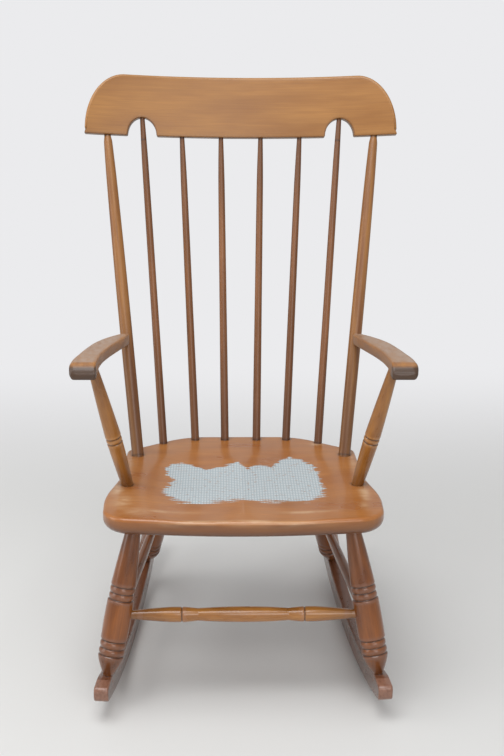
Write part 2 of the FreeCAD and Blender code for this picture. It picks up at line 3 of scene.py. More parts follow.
import bmesh
import bpy
import numpy as np
from mathutils import Matrix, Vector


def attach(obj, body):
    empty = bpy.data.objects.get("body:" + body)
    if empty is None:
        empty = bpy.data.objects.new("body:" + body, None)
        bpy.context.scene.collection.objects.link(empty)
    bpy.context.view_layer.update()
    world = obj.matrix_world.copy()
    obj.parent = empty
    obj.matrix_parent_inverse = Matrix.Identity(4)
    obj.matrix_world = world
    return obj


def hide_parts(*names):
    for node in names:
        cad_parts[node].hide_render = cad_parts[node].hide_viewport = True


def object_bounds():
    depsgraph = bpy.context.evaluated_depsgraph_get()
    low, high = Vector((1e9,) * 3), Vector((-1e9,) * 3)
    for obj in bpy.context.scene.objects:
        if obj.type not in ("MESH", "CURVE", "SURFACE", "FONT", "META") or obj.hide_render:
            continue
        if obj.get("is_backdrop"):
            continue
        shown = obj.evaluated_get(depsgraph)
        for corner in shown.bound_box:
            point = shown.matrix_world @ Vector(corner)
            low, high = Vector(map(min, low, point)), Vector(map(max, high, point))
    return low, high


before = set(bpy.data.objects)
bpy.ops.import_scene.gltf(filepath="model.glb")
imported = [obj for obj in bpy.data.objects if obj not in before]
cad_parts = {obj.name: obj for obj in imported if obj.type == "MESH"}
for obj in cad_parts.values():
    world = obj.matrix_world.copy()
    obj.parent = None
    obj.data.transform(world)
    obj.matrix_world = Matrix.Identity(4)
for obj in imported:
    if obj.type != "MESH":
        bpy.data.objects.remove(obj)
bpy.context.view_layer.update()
print("frame loaded")

metre = 1000.0  # mm

# Sizes and places below are in millimetres, angles in degrees, with the chair as drawn. It then rolls
# forward on its rockers to where it balances.
balance = {"roll": 2.75, "arcRadius": 1230.0, "touchY": 15.5, "shiftY": -55.6}


def settled(points):
    # As drawn, mm, to as it stands, m: a turn about the centre of the rockers' arc, then a shift
    turn = math.radians(balance["roll"])
    y = points[..., 1] - balance["touchY"]
    z = points[..., 2] - balance["arcRadius"]
    backY = y * math.cos(turn) - z * math.sin(turn) + balance["touchY"] + balance["shiftY"]
    upZ = y * math.sin(turn) + z * math.cos(turn) + balance["arcRadius"]
    return np.stack([points[..., 0], backY, upZ], -1) / metre


def unit(vector):
    return np.asarray(vector, float) / np.linalg.norm(vector)


def otherSide(points):
    return np.asarray(points, float) * [-1.0, 1.0, 1.0]


def tube(rings, grain, glazeAndShade=0.0, wearAndHighlight=0.0, extra=0.0):
    # Closed skin over rings of points (rings, around, 3), with a fan to a middle point at each end
    count, around = rings.shape[:2]
    points = np.vstack([rings.reshape(-1, 3), rings[0].mean(0), rings[-1].mean(0)])
    row = np.arange(count * around).reshape(count, around)
    nextRow = np.roll(row, -1, axis=1)
    quads = np.stack([row[:-1], nextRow[:-1], nextRow[1:], row[1:]], -1).reshape(-1, 4)
    first = np.full(around, count * around)
    fans = np.vstack([np.stack([first, nextRow[0], row[0]], -1),
                      np.stack([first + 1, row[-1], nextRow[-1]], -1)])
    a, b, c, d = (points[quads[:, k]] for k in range(4))
    outward = np.einsum("ij,ij->i", np.cross(b - a, d - b), (a + b + c + d) / 4 - points.mean(0)).sum()
    if outward < 0:
        quads, fans = quads[:, ::-1], fans[:, ::-1]
    masks = []
    for values in (glazeAndShade, wearAndHighlight, extra):
        values = np.broadcast_to(values, (count, around))
        masks.append(np.append(values.ravel(), [values[0].mean(), values[-1].mean()]))
    grain = np.vstack([grain.reshape(-1, 3), grain[0].mean(0), grain[-1].mean(0)]) / metre
    return points, quads, fans, grain, masks


grainShift = 0.4  # m, the most that a piece's grain is moved


def addPiece(name, tubes, finish, replaced, weld=0.0):
    # One mesh from its tubes. Grain is the wood's own x, y and z, with z along its fibres, in metres,
    # moved a little way for each piece, so that no two are cut from the same spot.
    starts = np.cumsum([0] + [len(part[0]) for part in tubes])
    quads = np.vstack([part[1] + start for part, start in zip(tubes, starts)])
    fans = np.vstack([part[2] + start for part, start in zip(tubes, starts)])
    points = settled(np.vstack([part[0] for part in tubes]))
    mesh = bpy.data.meshes.new(name)
    mesh.from_pydata(points.tolist(), [], quads.tolist() + fans.tolist())
    spot = np.random.default_rng(sum(map(ord, name)) * 7).uniform(-grainShift, grainShift, 3)
    grain = np.vstack([part[3] for part in tubes]) + spot
    field = mesh.attributes.new("grain", "FLOAT_VECTOR", "POINT")
    field.data.foreach_set("vector", grain.astype(np.float32).ravel())
    for index, label in enumerate(("glazeAndShade", "wearAndHighlight", "extra")):
        values = np.concatenate([part[4][index] for part in tubes])
        field = mesh.attributes.new(label, "FLOAT", "POINT")
        field.data.foreach_set("value", values.astype(np.float32))
    if weld:
        built = bmesh.new()
        built.from_mesh(mesh)
        bmesh.ops.remove_doubles(built, verts=built.verts, dist=weld)
        bmesh.ops.dissolve_degenerate(built, edges=built.edges, dist=weld * 0.5)
        bmesh.ops.recalc_face_normals(built, faces=built.faces)
        built.to_mesh(mesh)
        built.free()
    mesh.shade_smooth()
    mesh.materials.append(finish)
    piece = bpy.data.objects.new(name, mesh)
    bpy.context.scene.collection.objects.link(piece)
    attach(piece, "root")
    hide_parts(*replaced)


# Materials

def colour(hexValue):
    # sRGB hex to the linear colour that Blender's sockets take
    parts = np.array([int(hexValue[k:k + 2], 16) for k in (0, 2, 4)]) / 255.0
    linear = np.where(parts <= 0.04045, parts / 12.92, ((parts + 0.055) / 1.055) ** 2.4)
    return (*linear.tolist(), 1.0)


def addNode(tree, kind, inputs, output=0, **settings):
    # Adds a node with its settings, links or sets its inputs, and gives back one of its outputs
    node = tree.nodes.new(kind)
    for key, value in settings.items():
        setattr(node, key, value)
    for key, value in inputs.items():
        if isinstance(value, bpy.types.NodeSocket):
            tree.links.new(value, node.inputs[key])
        else:
            node.inputs[key].default_value = value
    return node.outputs[output]


def newMaterial(name):
    material = bpy.data.materials.new(name)
    material.use_nodes = True
    return material, material.node_tree, material.node_tree.nodes["Principled BSDF"]


waveScale = 314.0  # mm from wave to wave at a Scale of 1

# Shared by all the woods: size of the noise that bends the rings, mm across, across and along the
# grain, how far it pushes them and where the tree's heart lies, m, and how rough each noise is
figure = {"bend": (26, 26, 160), "push": (0.014, 0.014, 0.0), "heart": (0.06, 0.021, 0.0), "noise": 0.58}


def lacqueredWood(name, look):
    # Stained wood under lacquer: growth rings and fibres along the grain, blotches where the stain
    # took unevenly, dark glaze in the grooves, painted shade on ends, edges and undersides, and paler wood
    # where it is worn and where painted highlights and sheen lie
    material, tree, shader = newMaterial(name)
    grain = addNode(tree, "ShaderNodeAttribute", {}, "Vector", attribute_name="grain")
    glazeAndShade = addNode(tree, "ShaderNodeAttribute", {}, "Fac", attribute_name="glazeAndShade")
    wearAndHighlight = addNode(tree, "ShaderNodeAttribute", {}, "Fac", attribute_name="wearAndHighlight")

    # Figure: wavy rings about a heart beside the piece, fibres, and broad blotches
    cells = {}
    for label, size, detail in (("bend", figure["bend"], 2.0), ("fibre", look["fibre"], 3.0),
                                ("blotch", look["blotch"], 2.0), ("speck", look["speck"], 2.0)):
        place = addNode(tree, "ShaderNodeMapping", {"Vector": grain, "Scale": [metre / s for s in size]})
        cells[label] = addNode(tree, "ShaderNodeTexNoise", {"Vector": place, "Scale": 1.0, "Detail": detail,
                                                            "Roughness": figure["noise"]})
    push = addNode(tree, "ShaderNodeVectorMath", {0: figure["push"], "Scale": cells["bend"]},
                   operation="SCALE")
    heart = addNode(tree, "ShaderNodeMapping", {"Vector": grain, "Location": figure["heart"]})
    warped = addNode(tree, "ShaderNodeVectorMath", {0: heart, 1: push}, operation="ADD")
    rings = addNode(tree, "ShaderNodeTexWave", {"Vector": warped, "Scale": waveScale / look["ringGap"],
                                                "Distortion": 1.2, "Detail": 2.0, "Detail Scale": 0.6},
                    "Fac", wave_type="RINGS", rings_direction="Z", wave_profile="SIN")

    # Masks: a pattern, the lowest and highest values of it that count, and what these two become
    shares = {}
    for label, value, low, high, start, end in (
            ("blotch", cells["blotch"], 0.32, 0.68, 0.0, 1.0),
            ("rings", rings, 0.0, 1.0, 0.0, look["ringDepth"]),
            ("fibre", cells["fibre"], 0.35, 0.72, look["fibreDepth"], 0.0),
            ("wornAndLit", cells["speck"], 0.3, 0.62, look["wornAndLitFrom"], 1.0),
            ("glaze", cells["fibre"], 0.2, 0.8, 0.85, 1.0),
            ("rough", cells["blotch"], 0.3, 0.7, look["rough"] - 0.04, look["rough"] + 0.05)):
        shares[label] = addNode(tree, "ShaderNodeMapRange", {
            "Value": value, "From Min": low, "From Max": high, "To Min": start, "To Max": end})
    # Paler where the wood is worn and where painted highlights and sheen lie; darker where glaze gathers in
    # grooves and joints and where shade is painted
    rubbedAndLit, glazedAndShaded = (addNode(tree, "ShaderNodeMath", {0: mask, 1: shares[label]}, operation="MULTIPLY",
                              use_clamp=True) for mask, label in ((wearAndHighlight, "wornAndLit"), (glazeAndShade, "glaze")))

    # Colour, laid on in turn
    base = colour(look["deep"])
    for share, tint in ((shares["blotch"], "light"), (shares["rings"], "deep"), (shares["fibre"], "dark"),
                        (rubbedAndLit, "bareAndLit"), (glazedAndShaded, "dark")):
        base = addNode(tree, "ShaderNodeMix", {0: share, 6: base, 7: colour(look[tint])}, 2, data_type="RGBA")
    tree.links.new(base, shader.inputs["Base Color"])
    rough = addNode(tree, "ShaderNodeMath", {0: rubbedAndLit, 1: look["wearRough"], 2: shares["rough"]},
                    operation="MULTIPLY_ADD")
    tree.links.new(rough, shader.inputs["Roughness"])
    shader.inputs["Coat Weight"].default_value = look["coat"]
    shader.inputs["Coat Roughness"].default_value = look["coatRough"]
    bump = addNode(tree, "ShaderNodeBump", {"Height": cells["fibre"], "Strength": look["bump"],
                                            "Distance": look["fibreHeight"]})
    tree.links.new(bump, shader.inputs["Normal"])
    return material, shader, base, rough, bump


# Stained hard maple or birch, clear lacquer: smooth, faint close rings, a soft gloss. Ring gap and
# patterns are mm, the fibres' height is m, and the rest are shares from 0 to 1
# bareAndLit is the paler colour of rubbed wood, also laid on as painted highlights and sheen
turnedLook = {"deep": "6e3a10", "light": "925219", "dark": "2c150b", "bareAndLit": "7e5642", "ringGap": 4.5,
              "ringDepth": 0.2, "fibre": (1.1, 1.1, 42), "fibreDepth": 0.2, "fibreHeight": 0.0005,
              "blotch": (22, 22, 90), "speck": (5, 5, 12), "wornAndLitFrom": 0.5, "wearRough": 0.12, "rough": 0.3,
              "coat": 0.5, "coatRough": 0.14, "bump": 0.08}
stretcherLook = dict(turnedLook, deep="945c26", light="b97d3a", bareAndLit="a8765a", rough=0.27, coat=0.6,
                     coatRough=0.1)
supportLook = dict(turnedLook, deep="8f5a22", light="b57a34", bareAndLit="b98550")
spindleLook = dict(turnedLook, deep="744825", light="96623a", dark="3a2216", rough=0.42, coat=0.12,
                   blotch=(14, 14, 220))
postLook = dict(spindleLook, deep="84522a", light="b07a3f")
seatLook = dict(turnedLook, deep="a3622a", light="bc7b3a", dark="4c2a18", bareAndLit="d2b08c", ringGap=7.0,
                fibre=(1.6, 1.6, 80), blotch=(60, 34, 190), speck=(14, 10, 34), wornAndLitFrom=0.2, rough=0.3,
                coat=0.45, coatRough=0.2)
crestLook = dict(turnedLook, deep="946026", light="aa7433", dark="4e2c14", bareAndLit="c49660", ringGap=7.0,
                 fibre=(1.4, 1.4, 90), blotch=(34, 34, 180), rough=0.36, coat=0.25, coatRough=0.25)
armLook = dict(turnedLook, deep="96602c", light="b87d3e", dark="3d2b20", bareAndLit="a98d78", fibre=(1.3, 1.3, 60),
               fibreDepth=0.35, blotch=(18, 12, 60), speck=(9, 9, 30), wornAndLitFrom=0.35, rough=0.4, coat=0.2)
rockerLook = dict(turnedLook, deep="50290f", light="6c3a18", dark="241009", bareAndLit="946a56",
                  fibre=(1.2, 1.2, 80), rough=0.26)

finishes = {}
for label, title, look in (("turned", "turned maple, stained and lacquered", turnedLook),
                           ("stretcher", "stretcher maple, stained pale and lacquered", stretcherLook),
                           ("support", "arm support maple, stained and lacquered", supportLook),
                           ("spindle", "spindle birch, stained dark and lacquered", spindleLook),
                           ("post", "back post birch, stained and lacquered", postLook),
                           ("crest", "crest maple, stained and lacquered", crestLook),
                           ("arm", "arm maple, worn through its lacquer", armLook),
                           ("rocker", "rocker maple, stained and lacquered", rockerLook)):
    finishes[label] = lacqueredWood(title, look)[0]


# The film: mm from line to line of its grid, its two tints, the sizes of its torn rim and chips in mm,
# how far the rim is torn, how much of it is left in a chip, its added roughness, and its height in m
chalk = {"pitch": {"X": 5.2, "Y": 9.0}, "tint": "c3cacb", "gapTint": "96a4ac", "torn": (55, 7, 55),
         "chip": (7, 3.5, 7), "tear": 0.5, "chipShare": 0.25, "matt": 0.45, "height": 0.0006}


def seatFinish():
    # The seat's lacquered maple, and on it the chalky blue-white film that a mesh mat leaves: matt, a
    # fine woven grid, ragged at its rim. Extra is how far inside the film's outline a point is.
    material, shader, base, rough, bump = lacqueredWood("seat maple with a mat's chalky film", seatLook)
    tree = material.node_tree
    inside = addNode(tree, "ShaderNodeAttribute", {}, "Fac", attribute_name="extra")
    place = addNode(tree, "ShaderNodeTexCoord", {}, "Object")
    ragged = {}
    for label, detail in (("torn", 5.0), ("chip", 3.0)):
        spot = addNode(tree, "ShaderNodeMapping", {"Vector": place,
                                                   "Scale": [metre / s for s in chalk[label]]})
        ragged[label] = addNode(tree, "ShaderNodeTexNoise", {"Vector": spot, "Scale": 1.0, "Detail": detail,
                                                             "Roughness": 0.6})
    torn = addNode(tree, "ShaderNodeMapRange", {"Value": ragged["torn"], "From Min": 0.3, "From Max": 0.7,
                                                "To Min": -chalk["tear"], "To Max": chalk["tear"]})
    depth = addNode(tree, "ShaderNodeMath", {0: inside, 1: torn}, operation="ADD")
    film = addNode(tree, "ShaderNodeMapRange", {"Value": depth, "From Min": -0.03, "From Max": 0.05})
    chips = addNode(tree, "ShaderNodeMapRange", {"Value": ragged["chip"], "From Min": 0.33, "From Max": 0.38,
                                                 "To Min": chalk["chipShare"], "To Max": 1.0})
    film = addNode(tree, "ShaderNodeMath", {0: film, 1: chips}, operation="MULTIPLY")
    lines = []
    for direction, pitch in chalk["pitch"].items():
        lines.append(addNode(tree, "ShaderNodeTexWave", {"Vector": place, "Scale": waveScale / pitch,
                                                         "Distortion": 0.5, "Detail Scale": 0.4}, "Fac",
                             wave_type="BANDS", bands_direction=direction, wave_profile="SIN"))
    weave = addNode(tree, "ShaderNodeMath", {0: lines[0], 1: lines[1]}, operation="MINIMUM")
    gaps = addNode(tree, "ShaderNodeMapRange", {"Value": weave, "From Min": 0.05, "From Max": 0.45,
                                                "To Min": 0.8, "To Max": 0.0})
    grid = addNode(tree, "ShaderNodeMix", {0: gaps, 6: colour(chalk["tint"]), 7: colour(chalk["gapTint"])}, 2,
                   data_type="RGBA")
    tinted = addNode(tree, "ShaderNodeMix", {0: film, 6: base, 7: grid}, 2, data_type="RGBA")
    dull = addNode(tree, "ShaderNodeMapRange", {"Value": film, "To Min": 0.0, "To Max": chalk["matt"]})
    matt = addNode(tree, "ShaderNodeMath", {0: rough, 1: dull}, operation="ADD")
    coat = addNode(tree, "ShaderNodeMapRange", {"Value": film, "To Min": seatLook["coat"], "To Max": 0.0})
    raised = addNode(tree, "ShaderNodeBump", {"Height": film, "Strength": 0.5, "Distance": chalk["height"],
                                              "Normal": bump})
    for socket, label in ((tinted, "Base Color"), (matt, "Roughness"), (coat, "Coat Weight"),
                          (raised, "Normal")):
        tree.links.new(socket, shader.inputs[label])
    return material


finishes["seat"] = seatFinish()
print("materials made")


# Turned pieces

def softened(values, weights, **padding):
    # Each value becomes the weighted mean of its neighbours and itself
    padded = np.pad(values, len(weights) // 2, **padding)
    return np.convolve(padded, weights / weights.sum(), "valid")


def latheProfile(stations, soften, step):
    # Distance and radius down a turning: straight runs between (distance, radius) stations, bowed where
    # a third number gives their rise, then softened with a bell curve as wide as the sanding
    length = stations[-1][0] - stations[0][0]
    distance = np.linspace(stations[0][0], stations[-1][0], int(length / step) + 1)
    radius = np.interp(distance, [s[0] for s in stations], [s[1] for s in stations])
    for before, after in zip(stations, stations[1:]):
        if len(after) == 3:
            share = np.clip((distance - before[0]) / (after[0] - before[0]), 0, 1)
            radius = radius + 4 * after[2] * share * (1 - share)
    reach = int(3 * soften / step) + 1
    bell = np.exp(-0.5 * (np.arange(-reach, reach + 1) * step / soften) ** 2)
    return distance, softened(radius, bell, mode="edge")


aslant = [0.3, 1.0, 0.2]  # a direction that no turning runs along


def turnedRings(start, end, distance, radius, around):
    # A circle of each radius, square to the line from start to end, at each distance along it
    start, end = np.asarray(start, float), np.asarray(end, float)
    run = unit(end - start)
    side = unit(np.cross(run, aslant))
    up = np.cross(side, run)
    angle = np.linspace(0, 2 * math.pi, around, endpoint=False)[None, :, None]
    circle = np.cos(angle) * side + np.sin(angle) * up
    rings = start + distance[:, None, None] * run + radius[:, None, None] * circle
    cosine, sine = np.cos(angle[..., 0]), np.sin(angle[..., 0])
    grain = np.stack([radius[:, None] * cosine, radius[:, None] * sine,
                      distance[:, None] + 0 * cosine], -1)
    return rings, grain


def bellsAt(distance, places, width):
    # One at each place, fading over its width: dark glaze at the grooves, and rub with painted sheen at the
    # beads
    dark = np.zeros_like(distance)
    for place in places:
        dark = np.maximum(dark, np.exp(-((distance - place) / width) ** 2))
    return dark


def lengthOf(ends):
    return float(np.linalg.norm(np.subtract(ends[1], ends[0])))


def addTurned(name, ends, stations, finish, slot, shape):
    # One turning between its ends; its shape says how fine it is cut, where its grooves are dark, how dark
    # the painted shade is at its ends, and where its beads are rubbed and lit by a painted sheen
    distance, radius = latheProfile(stations, shape["soften"], shape["step"])
    glazeAndShade = shape["glaze"] * bellsAt(distance, shape["grooves"], shape["grooveWidth"])[:, None]
    # Painted shade at the two ends
    fromStart, fromEnd, reach = shape["shade"]
    shade = np.maximum(fromStart * np.exp(-((distance / reach) ** 2)),
                       fromEnd * np.exp(-(((lengthOf(ends) - distance) / reach) ** 2)))
    glazeAndShade = np.maximum(glazeAndShade, shade[:, None])
    # Rub and painted sheen on the beads
    wearAndHighlight = shape["rub"] * bellsAt(distance, shape["beads"], shape["beadWidth"])[:, None]
    rings, grain = turnedRings(ends[0], ends[1], distance, radius, shape["around"])
    addPiece(name, [tube(rings, grain, glazeAndShade, wearAndHighlight)], finish, [name])


def bothSides(name, ends, *rest):
    addTurned("left_" + name, ends, *rest)
    addTurned("right_" + name, tuple(otherSide(end) for end in ends), *rest)


# Places in a turned piece's dictionary are mm along it from its first end. "bow" holds the rises of its
# curved stretches, in their order, and "shade" is how dark the painted shade is at its two ends, and over
# how many mm that fades. "rub" is how much paler the beads are, from rub and painted sheen. A
# tenon with no length of its own runs on by this much into its socket, mm.
buried = 12.0

# The two legs of a side differ only in their ends
leg = {"front": ((251.2, -321.7, 86.9), (198.3, -249.0, 367.2)),
       "rear": ((208.6, 199.5, 52.4), (145.0, 77.4, 345.5)),
       "ankle": 9.0, "cone": 22.4, "coneAt": 31.0, "bead": 24.0, "barrel": 24.5, "vase": 23.0, "top": 12.0,
       "grooveRadius": 21.2, "low": (40.5, 54.0, 68.0), "high": (146.0, 158.5, 171.0), "flank": 2.2,
       "bow": (0.8, 0.5, 0.7), "highProud": 0.2, "ankleEnd": 2.5, "topEnd": 3.0, "tenon": 10.0,
       "grooves": (0.5, 40.5, 54.0, 68.0, 146.0, 158.5, 171.0), "grooveWidth": 1.3, "glaze": 0.95,
       "beads": (36.5, 47.2, 61.0, 72.0, 142.5, 152.2, 164.8, 175.0), "beadWidth": 3.2, "rub": 0.75,
       "shade": (0.35, 0.25, 45.0), "soften": 0.6, "step": 0.7, "around": 64}


def legStations(length):
    # A cone, three beads between grooves, a barrel, three beads, and a vase up to the seat
    low, high, groove, flank = leg["low"], leg["high"], leg["grooveRadius"], leg["flank"]
    bead, ring = leg["bead"] - groove, leg["vase"] - groove + leg["highProud"]
    cone, barrel, vase = leg["bow"]
    return [(-buried, leg["ankle"]), (leg["ankleEnd"], leg["ankle"]), (leg["coneAt"], leg["cone"], cone),
            (low[0] - flank, leg["bead"]), (low[0], groove), (low[1], groove, bead), (low[2], groove, bead),
            (low[2] + flank, leg["barrel"]), (high[0] - flank, leg["barrel"], barrel),
            (high[0], groove), (high[1], groove, ring), (high[2], groove, ring),
            (high[2] + flank, leg["vase"]), (length - leg["topEnd"], leg["top"], vase),
            (length + leg["tenon"], leg["top"])]


for end in ("front", "rear"):
    bothSides(end + "_leg", leg[end], legStations(lengthOf(leg[end])), finishes["turned"], "turned_maple",
              leg)

post = {"ends": ((209.8, 18.6, 383.5), (275.5, 280.6, 989.2)), "foot": 12.0, "footEnd": 4.0,
        "belly": 12.5, "bellyShare": 0.42, "upper": 10.6, "upperShare": 0.85, "neck": 8.6, "neckEnd": 14.0,
        "tenon": 6.4, "tenonEnd": 4.5, "tenonFlare": 0.4, "bow": (0.2, 0.4, 0.2), "grooves": (0.5, 662.0),
        "grooveWidth": 3.0, "glaze": 0.9, "beads": (), "beadWidth": 1.0, "rub": 0.0,
        "shade": (0.5, 0.1, 260.0), "soften": 2.0, "step": 2.0, "around": 48}
postLength = lengthOf(post["ends"])
postStations = [(-buried, post["foot"]), (post["footEnd"], post["foot"]),
                (postLength * post["bellyShare"], post["belly"], post["bow"][0]),
                (postLength * post["upperShare"], post["upper"], post["bow"][1]),
                (postLength - post["neckEnd"], post["neck"], post["bow"][2]),
                (postLength - post["tenonEnd"], post["tenon"] + post["tenonFlare"]),
                (postLength + buried, post["tenon"])]
bothSides("back_post", post["ends"], postStations, finishes["post"], "spindle_birch", post)

spindle = {"ends": [((33.3, 116.9, 377.0), (41.5, 314.7, 977.9)),
                    ((95.6, 117.4, 376.9), (122.7, 308.7, 979.9)),
                    ((161.8, 95.5, 378.4), (204.7, 308.1, 1019.5))],
           "foot": 8.3, "footEnd": 4.0, "belly": 7.5, "bellyShare": 0.45, "upper": 6.7, "tip": 4.8,
           "neck": 95.0, "bow": (0.1, 0.1, 0.2), "grooves": (0.5, 632.0), "grooveWidth": 3.5, "glaze": 0.9,
           "beads": (), "beadWidth": 1.0, "rub": 0.0, "shade": (0.45, 0.4, 150.0), "soften": 3.0,
           "step": 3.0, "around": 36}
for number, ends in enumerate(spindle["ends"]):
    length = lengthOf(ends)
    stations = [(-buried, spindle["foot"]), (spindle["footEnd"], spindle["foot"]),
                (length * spindle["bellyShare"], spindle["belly"], spindle["bow"][0]),
                (length - spindle["neck"], spindle["upper"], spindle["bow"][1]),
                (length, spindle["tip"], spindle["bow"][2]), (length + buried, spindle["tip"])]
    for place, side in ((4 + number, ends), (3 - number, [otherSide(end) for end in ends])):
        addTurned("spindle_%d" % place, side, stations, finishes["spindle"], "spindle_birch", spindle)

# A baluster with a bead between two grooves. Rub and painted sheen lie on the bead and beyond each groove
support = {"ends": ((218.4, -151.3, 394.8), (270.5, -196.0, 640.8)), "foot": 11.5, "footEnd": 4.0,
           "ring": 15.0, "ringEase": 0.4, "approach": 5.0, "groove": 13.2, "top": 9.2, "topEnd": 1.5,
           "tenon": 7.0, "tenonFlare": 0.6, "tenonLength": 8.0, "ringShare": 0.408, "pitch": 10.9,
           "flank": 1.8, "bow": (0.3, 1.8, 0.5), "grooveWidth": 1.2, "glaze": 0.95, "beyond": 3.5,
           "beadWidth": 2.6, "rub": 0.7, "shade": (0.4, 0.2, 45.0), "soften": 0.6, "step": 0.7,
           "around": 48}
supportLength = lengthOf(support["ends"])
ringAt = supportLength * support["ringShare"]
lower, upper = ringAt - support["pitch"] / 2, ringAt + support["pitch"] / 2
support["grooves"] = (0.5, lower, upper)
support["beads"] = (lower - support["beyond"], ringAt, upper + support["beyond"])
supportStations = [(-buried, support["foot"]), (support["footEnd"], support["foot"]),
                   (lower - support["approach"], support["ring"] - support["ringEase"], support["bow"][0]),
                   (lower - support["flank"], support["ring"]), (lower, support["groove"]),
                   (upper, support["groove"], support["bow"][1]),
                   (upper + support["flank"], support["ring"]),
                   (supportLength - support["topEnd"], support["top"], support["bow"][2]),
                   (supportLength, support["tenon"] + support["tenonFlare"]),
                   (supportLength + support["tenonLength"], support["tenon"])]
bothSides("arm_support", support["ends"], supportStations, finishes["support"], "turned_maple", support)

plainStretcher = {"side": ((234.0, -295.5, 176.5), (182.6, 145.9, 174.0)),
                  "rear": ((-174.2, 139.3, 197.0), (174.2, 139.3, 197.0)), "end": 8.0, "inset": 4.0,
                  "swell": 2.0, "hidden": 28.0, "grooves": (25.0,), "grooveWidth": 4.0, "glaze": 0.8,
                  "beads": (), "beadWidth": 1.0, "rub": 0.0, "shade": (0.45, 0.45, 60.0), "soften": 3.0,
                  "step": 3.0, "around": 40}


def plainStations(length):
    end, hidden, inset = (plainStretcher[key] for key in ("end", "hidden", "inset"))
    return [(inset, end), (hidden, end), (length - hidden, end, plainStretcher["swell"]),
            (length - inset, end)]


for name, key, addTo in (("side_stretcher", "side", bothSides), ("rear_stretcher", "rear", addTurned)):
    addTo(name, plainStretcher[key], plainStations(lengthOf(plainStretcher[key])), finishes["turned"],
          "turned_maple", plainStretcher)

# Half of it, from its middle out: a swelling, a waist, a node with one dark groove, a taper to the leg.
# Grooves and beads are mm out from the middle, on both sides.
frontStretcher = {"ends": ((-227.5, -293.2, 197.0), (227.5, -293.2, 197.0)),
                  "half": [(0.0, 14.4), (34.0, 13.9, 0.1), (83.0, 11.4, 0.3), (109.0, 14.0, 0.2),
                           (111.6, 13.9), (113.0, 12.0), (114.4, 13.9), (135.0, 13.8, 0.2),
                           (200.5, 8.5, 0.4), (223.5, 8.5)],
                  "grooveOut": (-113.0, 113.0), "grooveWidth": 1.1, "glaze": 1.0,
                  "beadsOut": (-190.0, -109.0, 109.0, 190.0), "beadWidth": 4.0, "rub": 0.45,
                  "shade": (0.5, 0.5, 75.0), "soften": 0.6, "step": 0.8, "around": 56}
middle = lengthOf(frontStretcher["ends"]) / 2
half = frontStretcher["half"]
rises = [station[2:] for station in half[1:]] + [()]
frontStations = [(middle - half[k][0], half[k][1]) + rises[k] for k in range(len(half) - 1, -1, -1)]
frontStations += [(middle + station[0],) + station[1:] for station in half[1:]]
frontStretcher["grooves"] = [middle + out for out in frontStretcher["grooveOut"]]
frontStretcher["beads"] = [middle + out for out in frontStretcher["beadsOut"]]
addTurned("front_stretcher", frontStretcher["ends"], frontStations, finishes["stretcher"], "turned_maple",
          frontStretcher)
print("turned pieces made")


# Boards with a shaped outline: the crest rail and the rockers

def walked(line):
    # Distance along a line to each of its points
    return np.append(0, np.cumsum(np.linalg.norm(np.diff(line, axis=0), axis=1)))


def evenly(line, count, closed=False):
    # As many points as asked for, at even distances along a line
    distance = walked(line)
    places = np.linspace(0, distance[-1], count, endpoint=not closed)
    return np.stack([np.interp(places, distance, line[:, k]) for k in (0, 1)], -1)


def rounded(corners, spacing):
    # Open line of points through (u, z, radius) corners: straight runs joined by tangent arcs
    path = [np.array(corners[0][:2], float)]
    for before, corner, after in zip(corners, corners[1:], corners[2:]):
        here = np.array(corner[:2], float)
        back, ahead = unit(np.array(before[:2]) - here), unit(np.array(after[:2]) - here)
        half = 0.5 * math.acos(float(np.clip(back @ ahead, -1, 1)))
        reach = corner[2] / math.tan(half)
        centre = here + unit(back + ahead) * corner[2] / math.sin(half)
        share = np.linspace(0, 1, 9)[:, None]
        arc = (here + back * reach) * (1 - share) + (here + ahead * reach) * share - centre
        path += list(centre + arc / np.linalg.norm(arc, axis=1)[:, None] * corner[2])
    path.append(np.array(corners[-1][:2], float))
    path = np.array(path)
    return evenly(path, int(walked(path)[-1] / spacing) + 1)


def inward(line, side):
    # Normal of each point of a line, on the side asked for, evened out over its neighbours
    along = np.gradient(line, axis=0)
    normal = np.stack([-along[:, 1], along[:, 0]], -1) * side
    normal /= np.linalg.norm(normal, axis=1)[:, None] + 1e-9
    normal = np.stack([softened(normal[:, k], np.array([1, 2, 3, 2, 1]), mode="edge") for k in (0, 1)], -1)
    return normal / (np.linalg.norm(normal, axis=1)[:, None] + 1e-9)


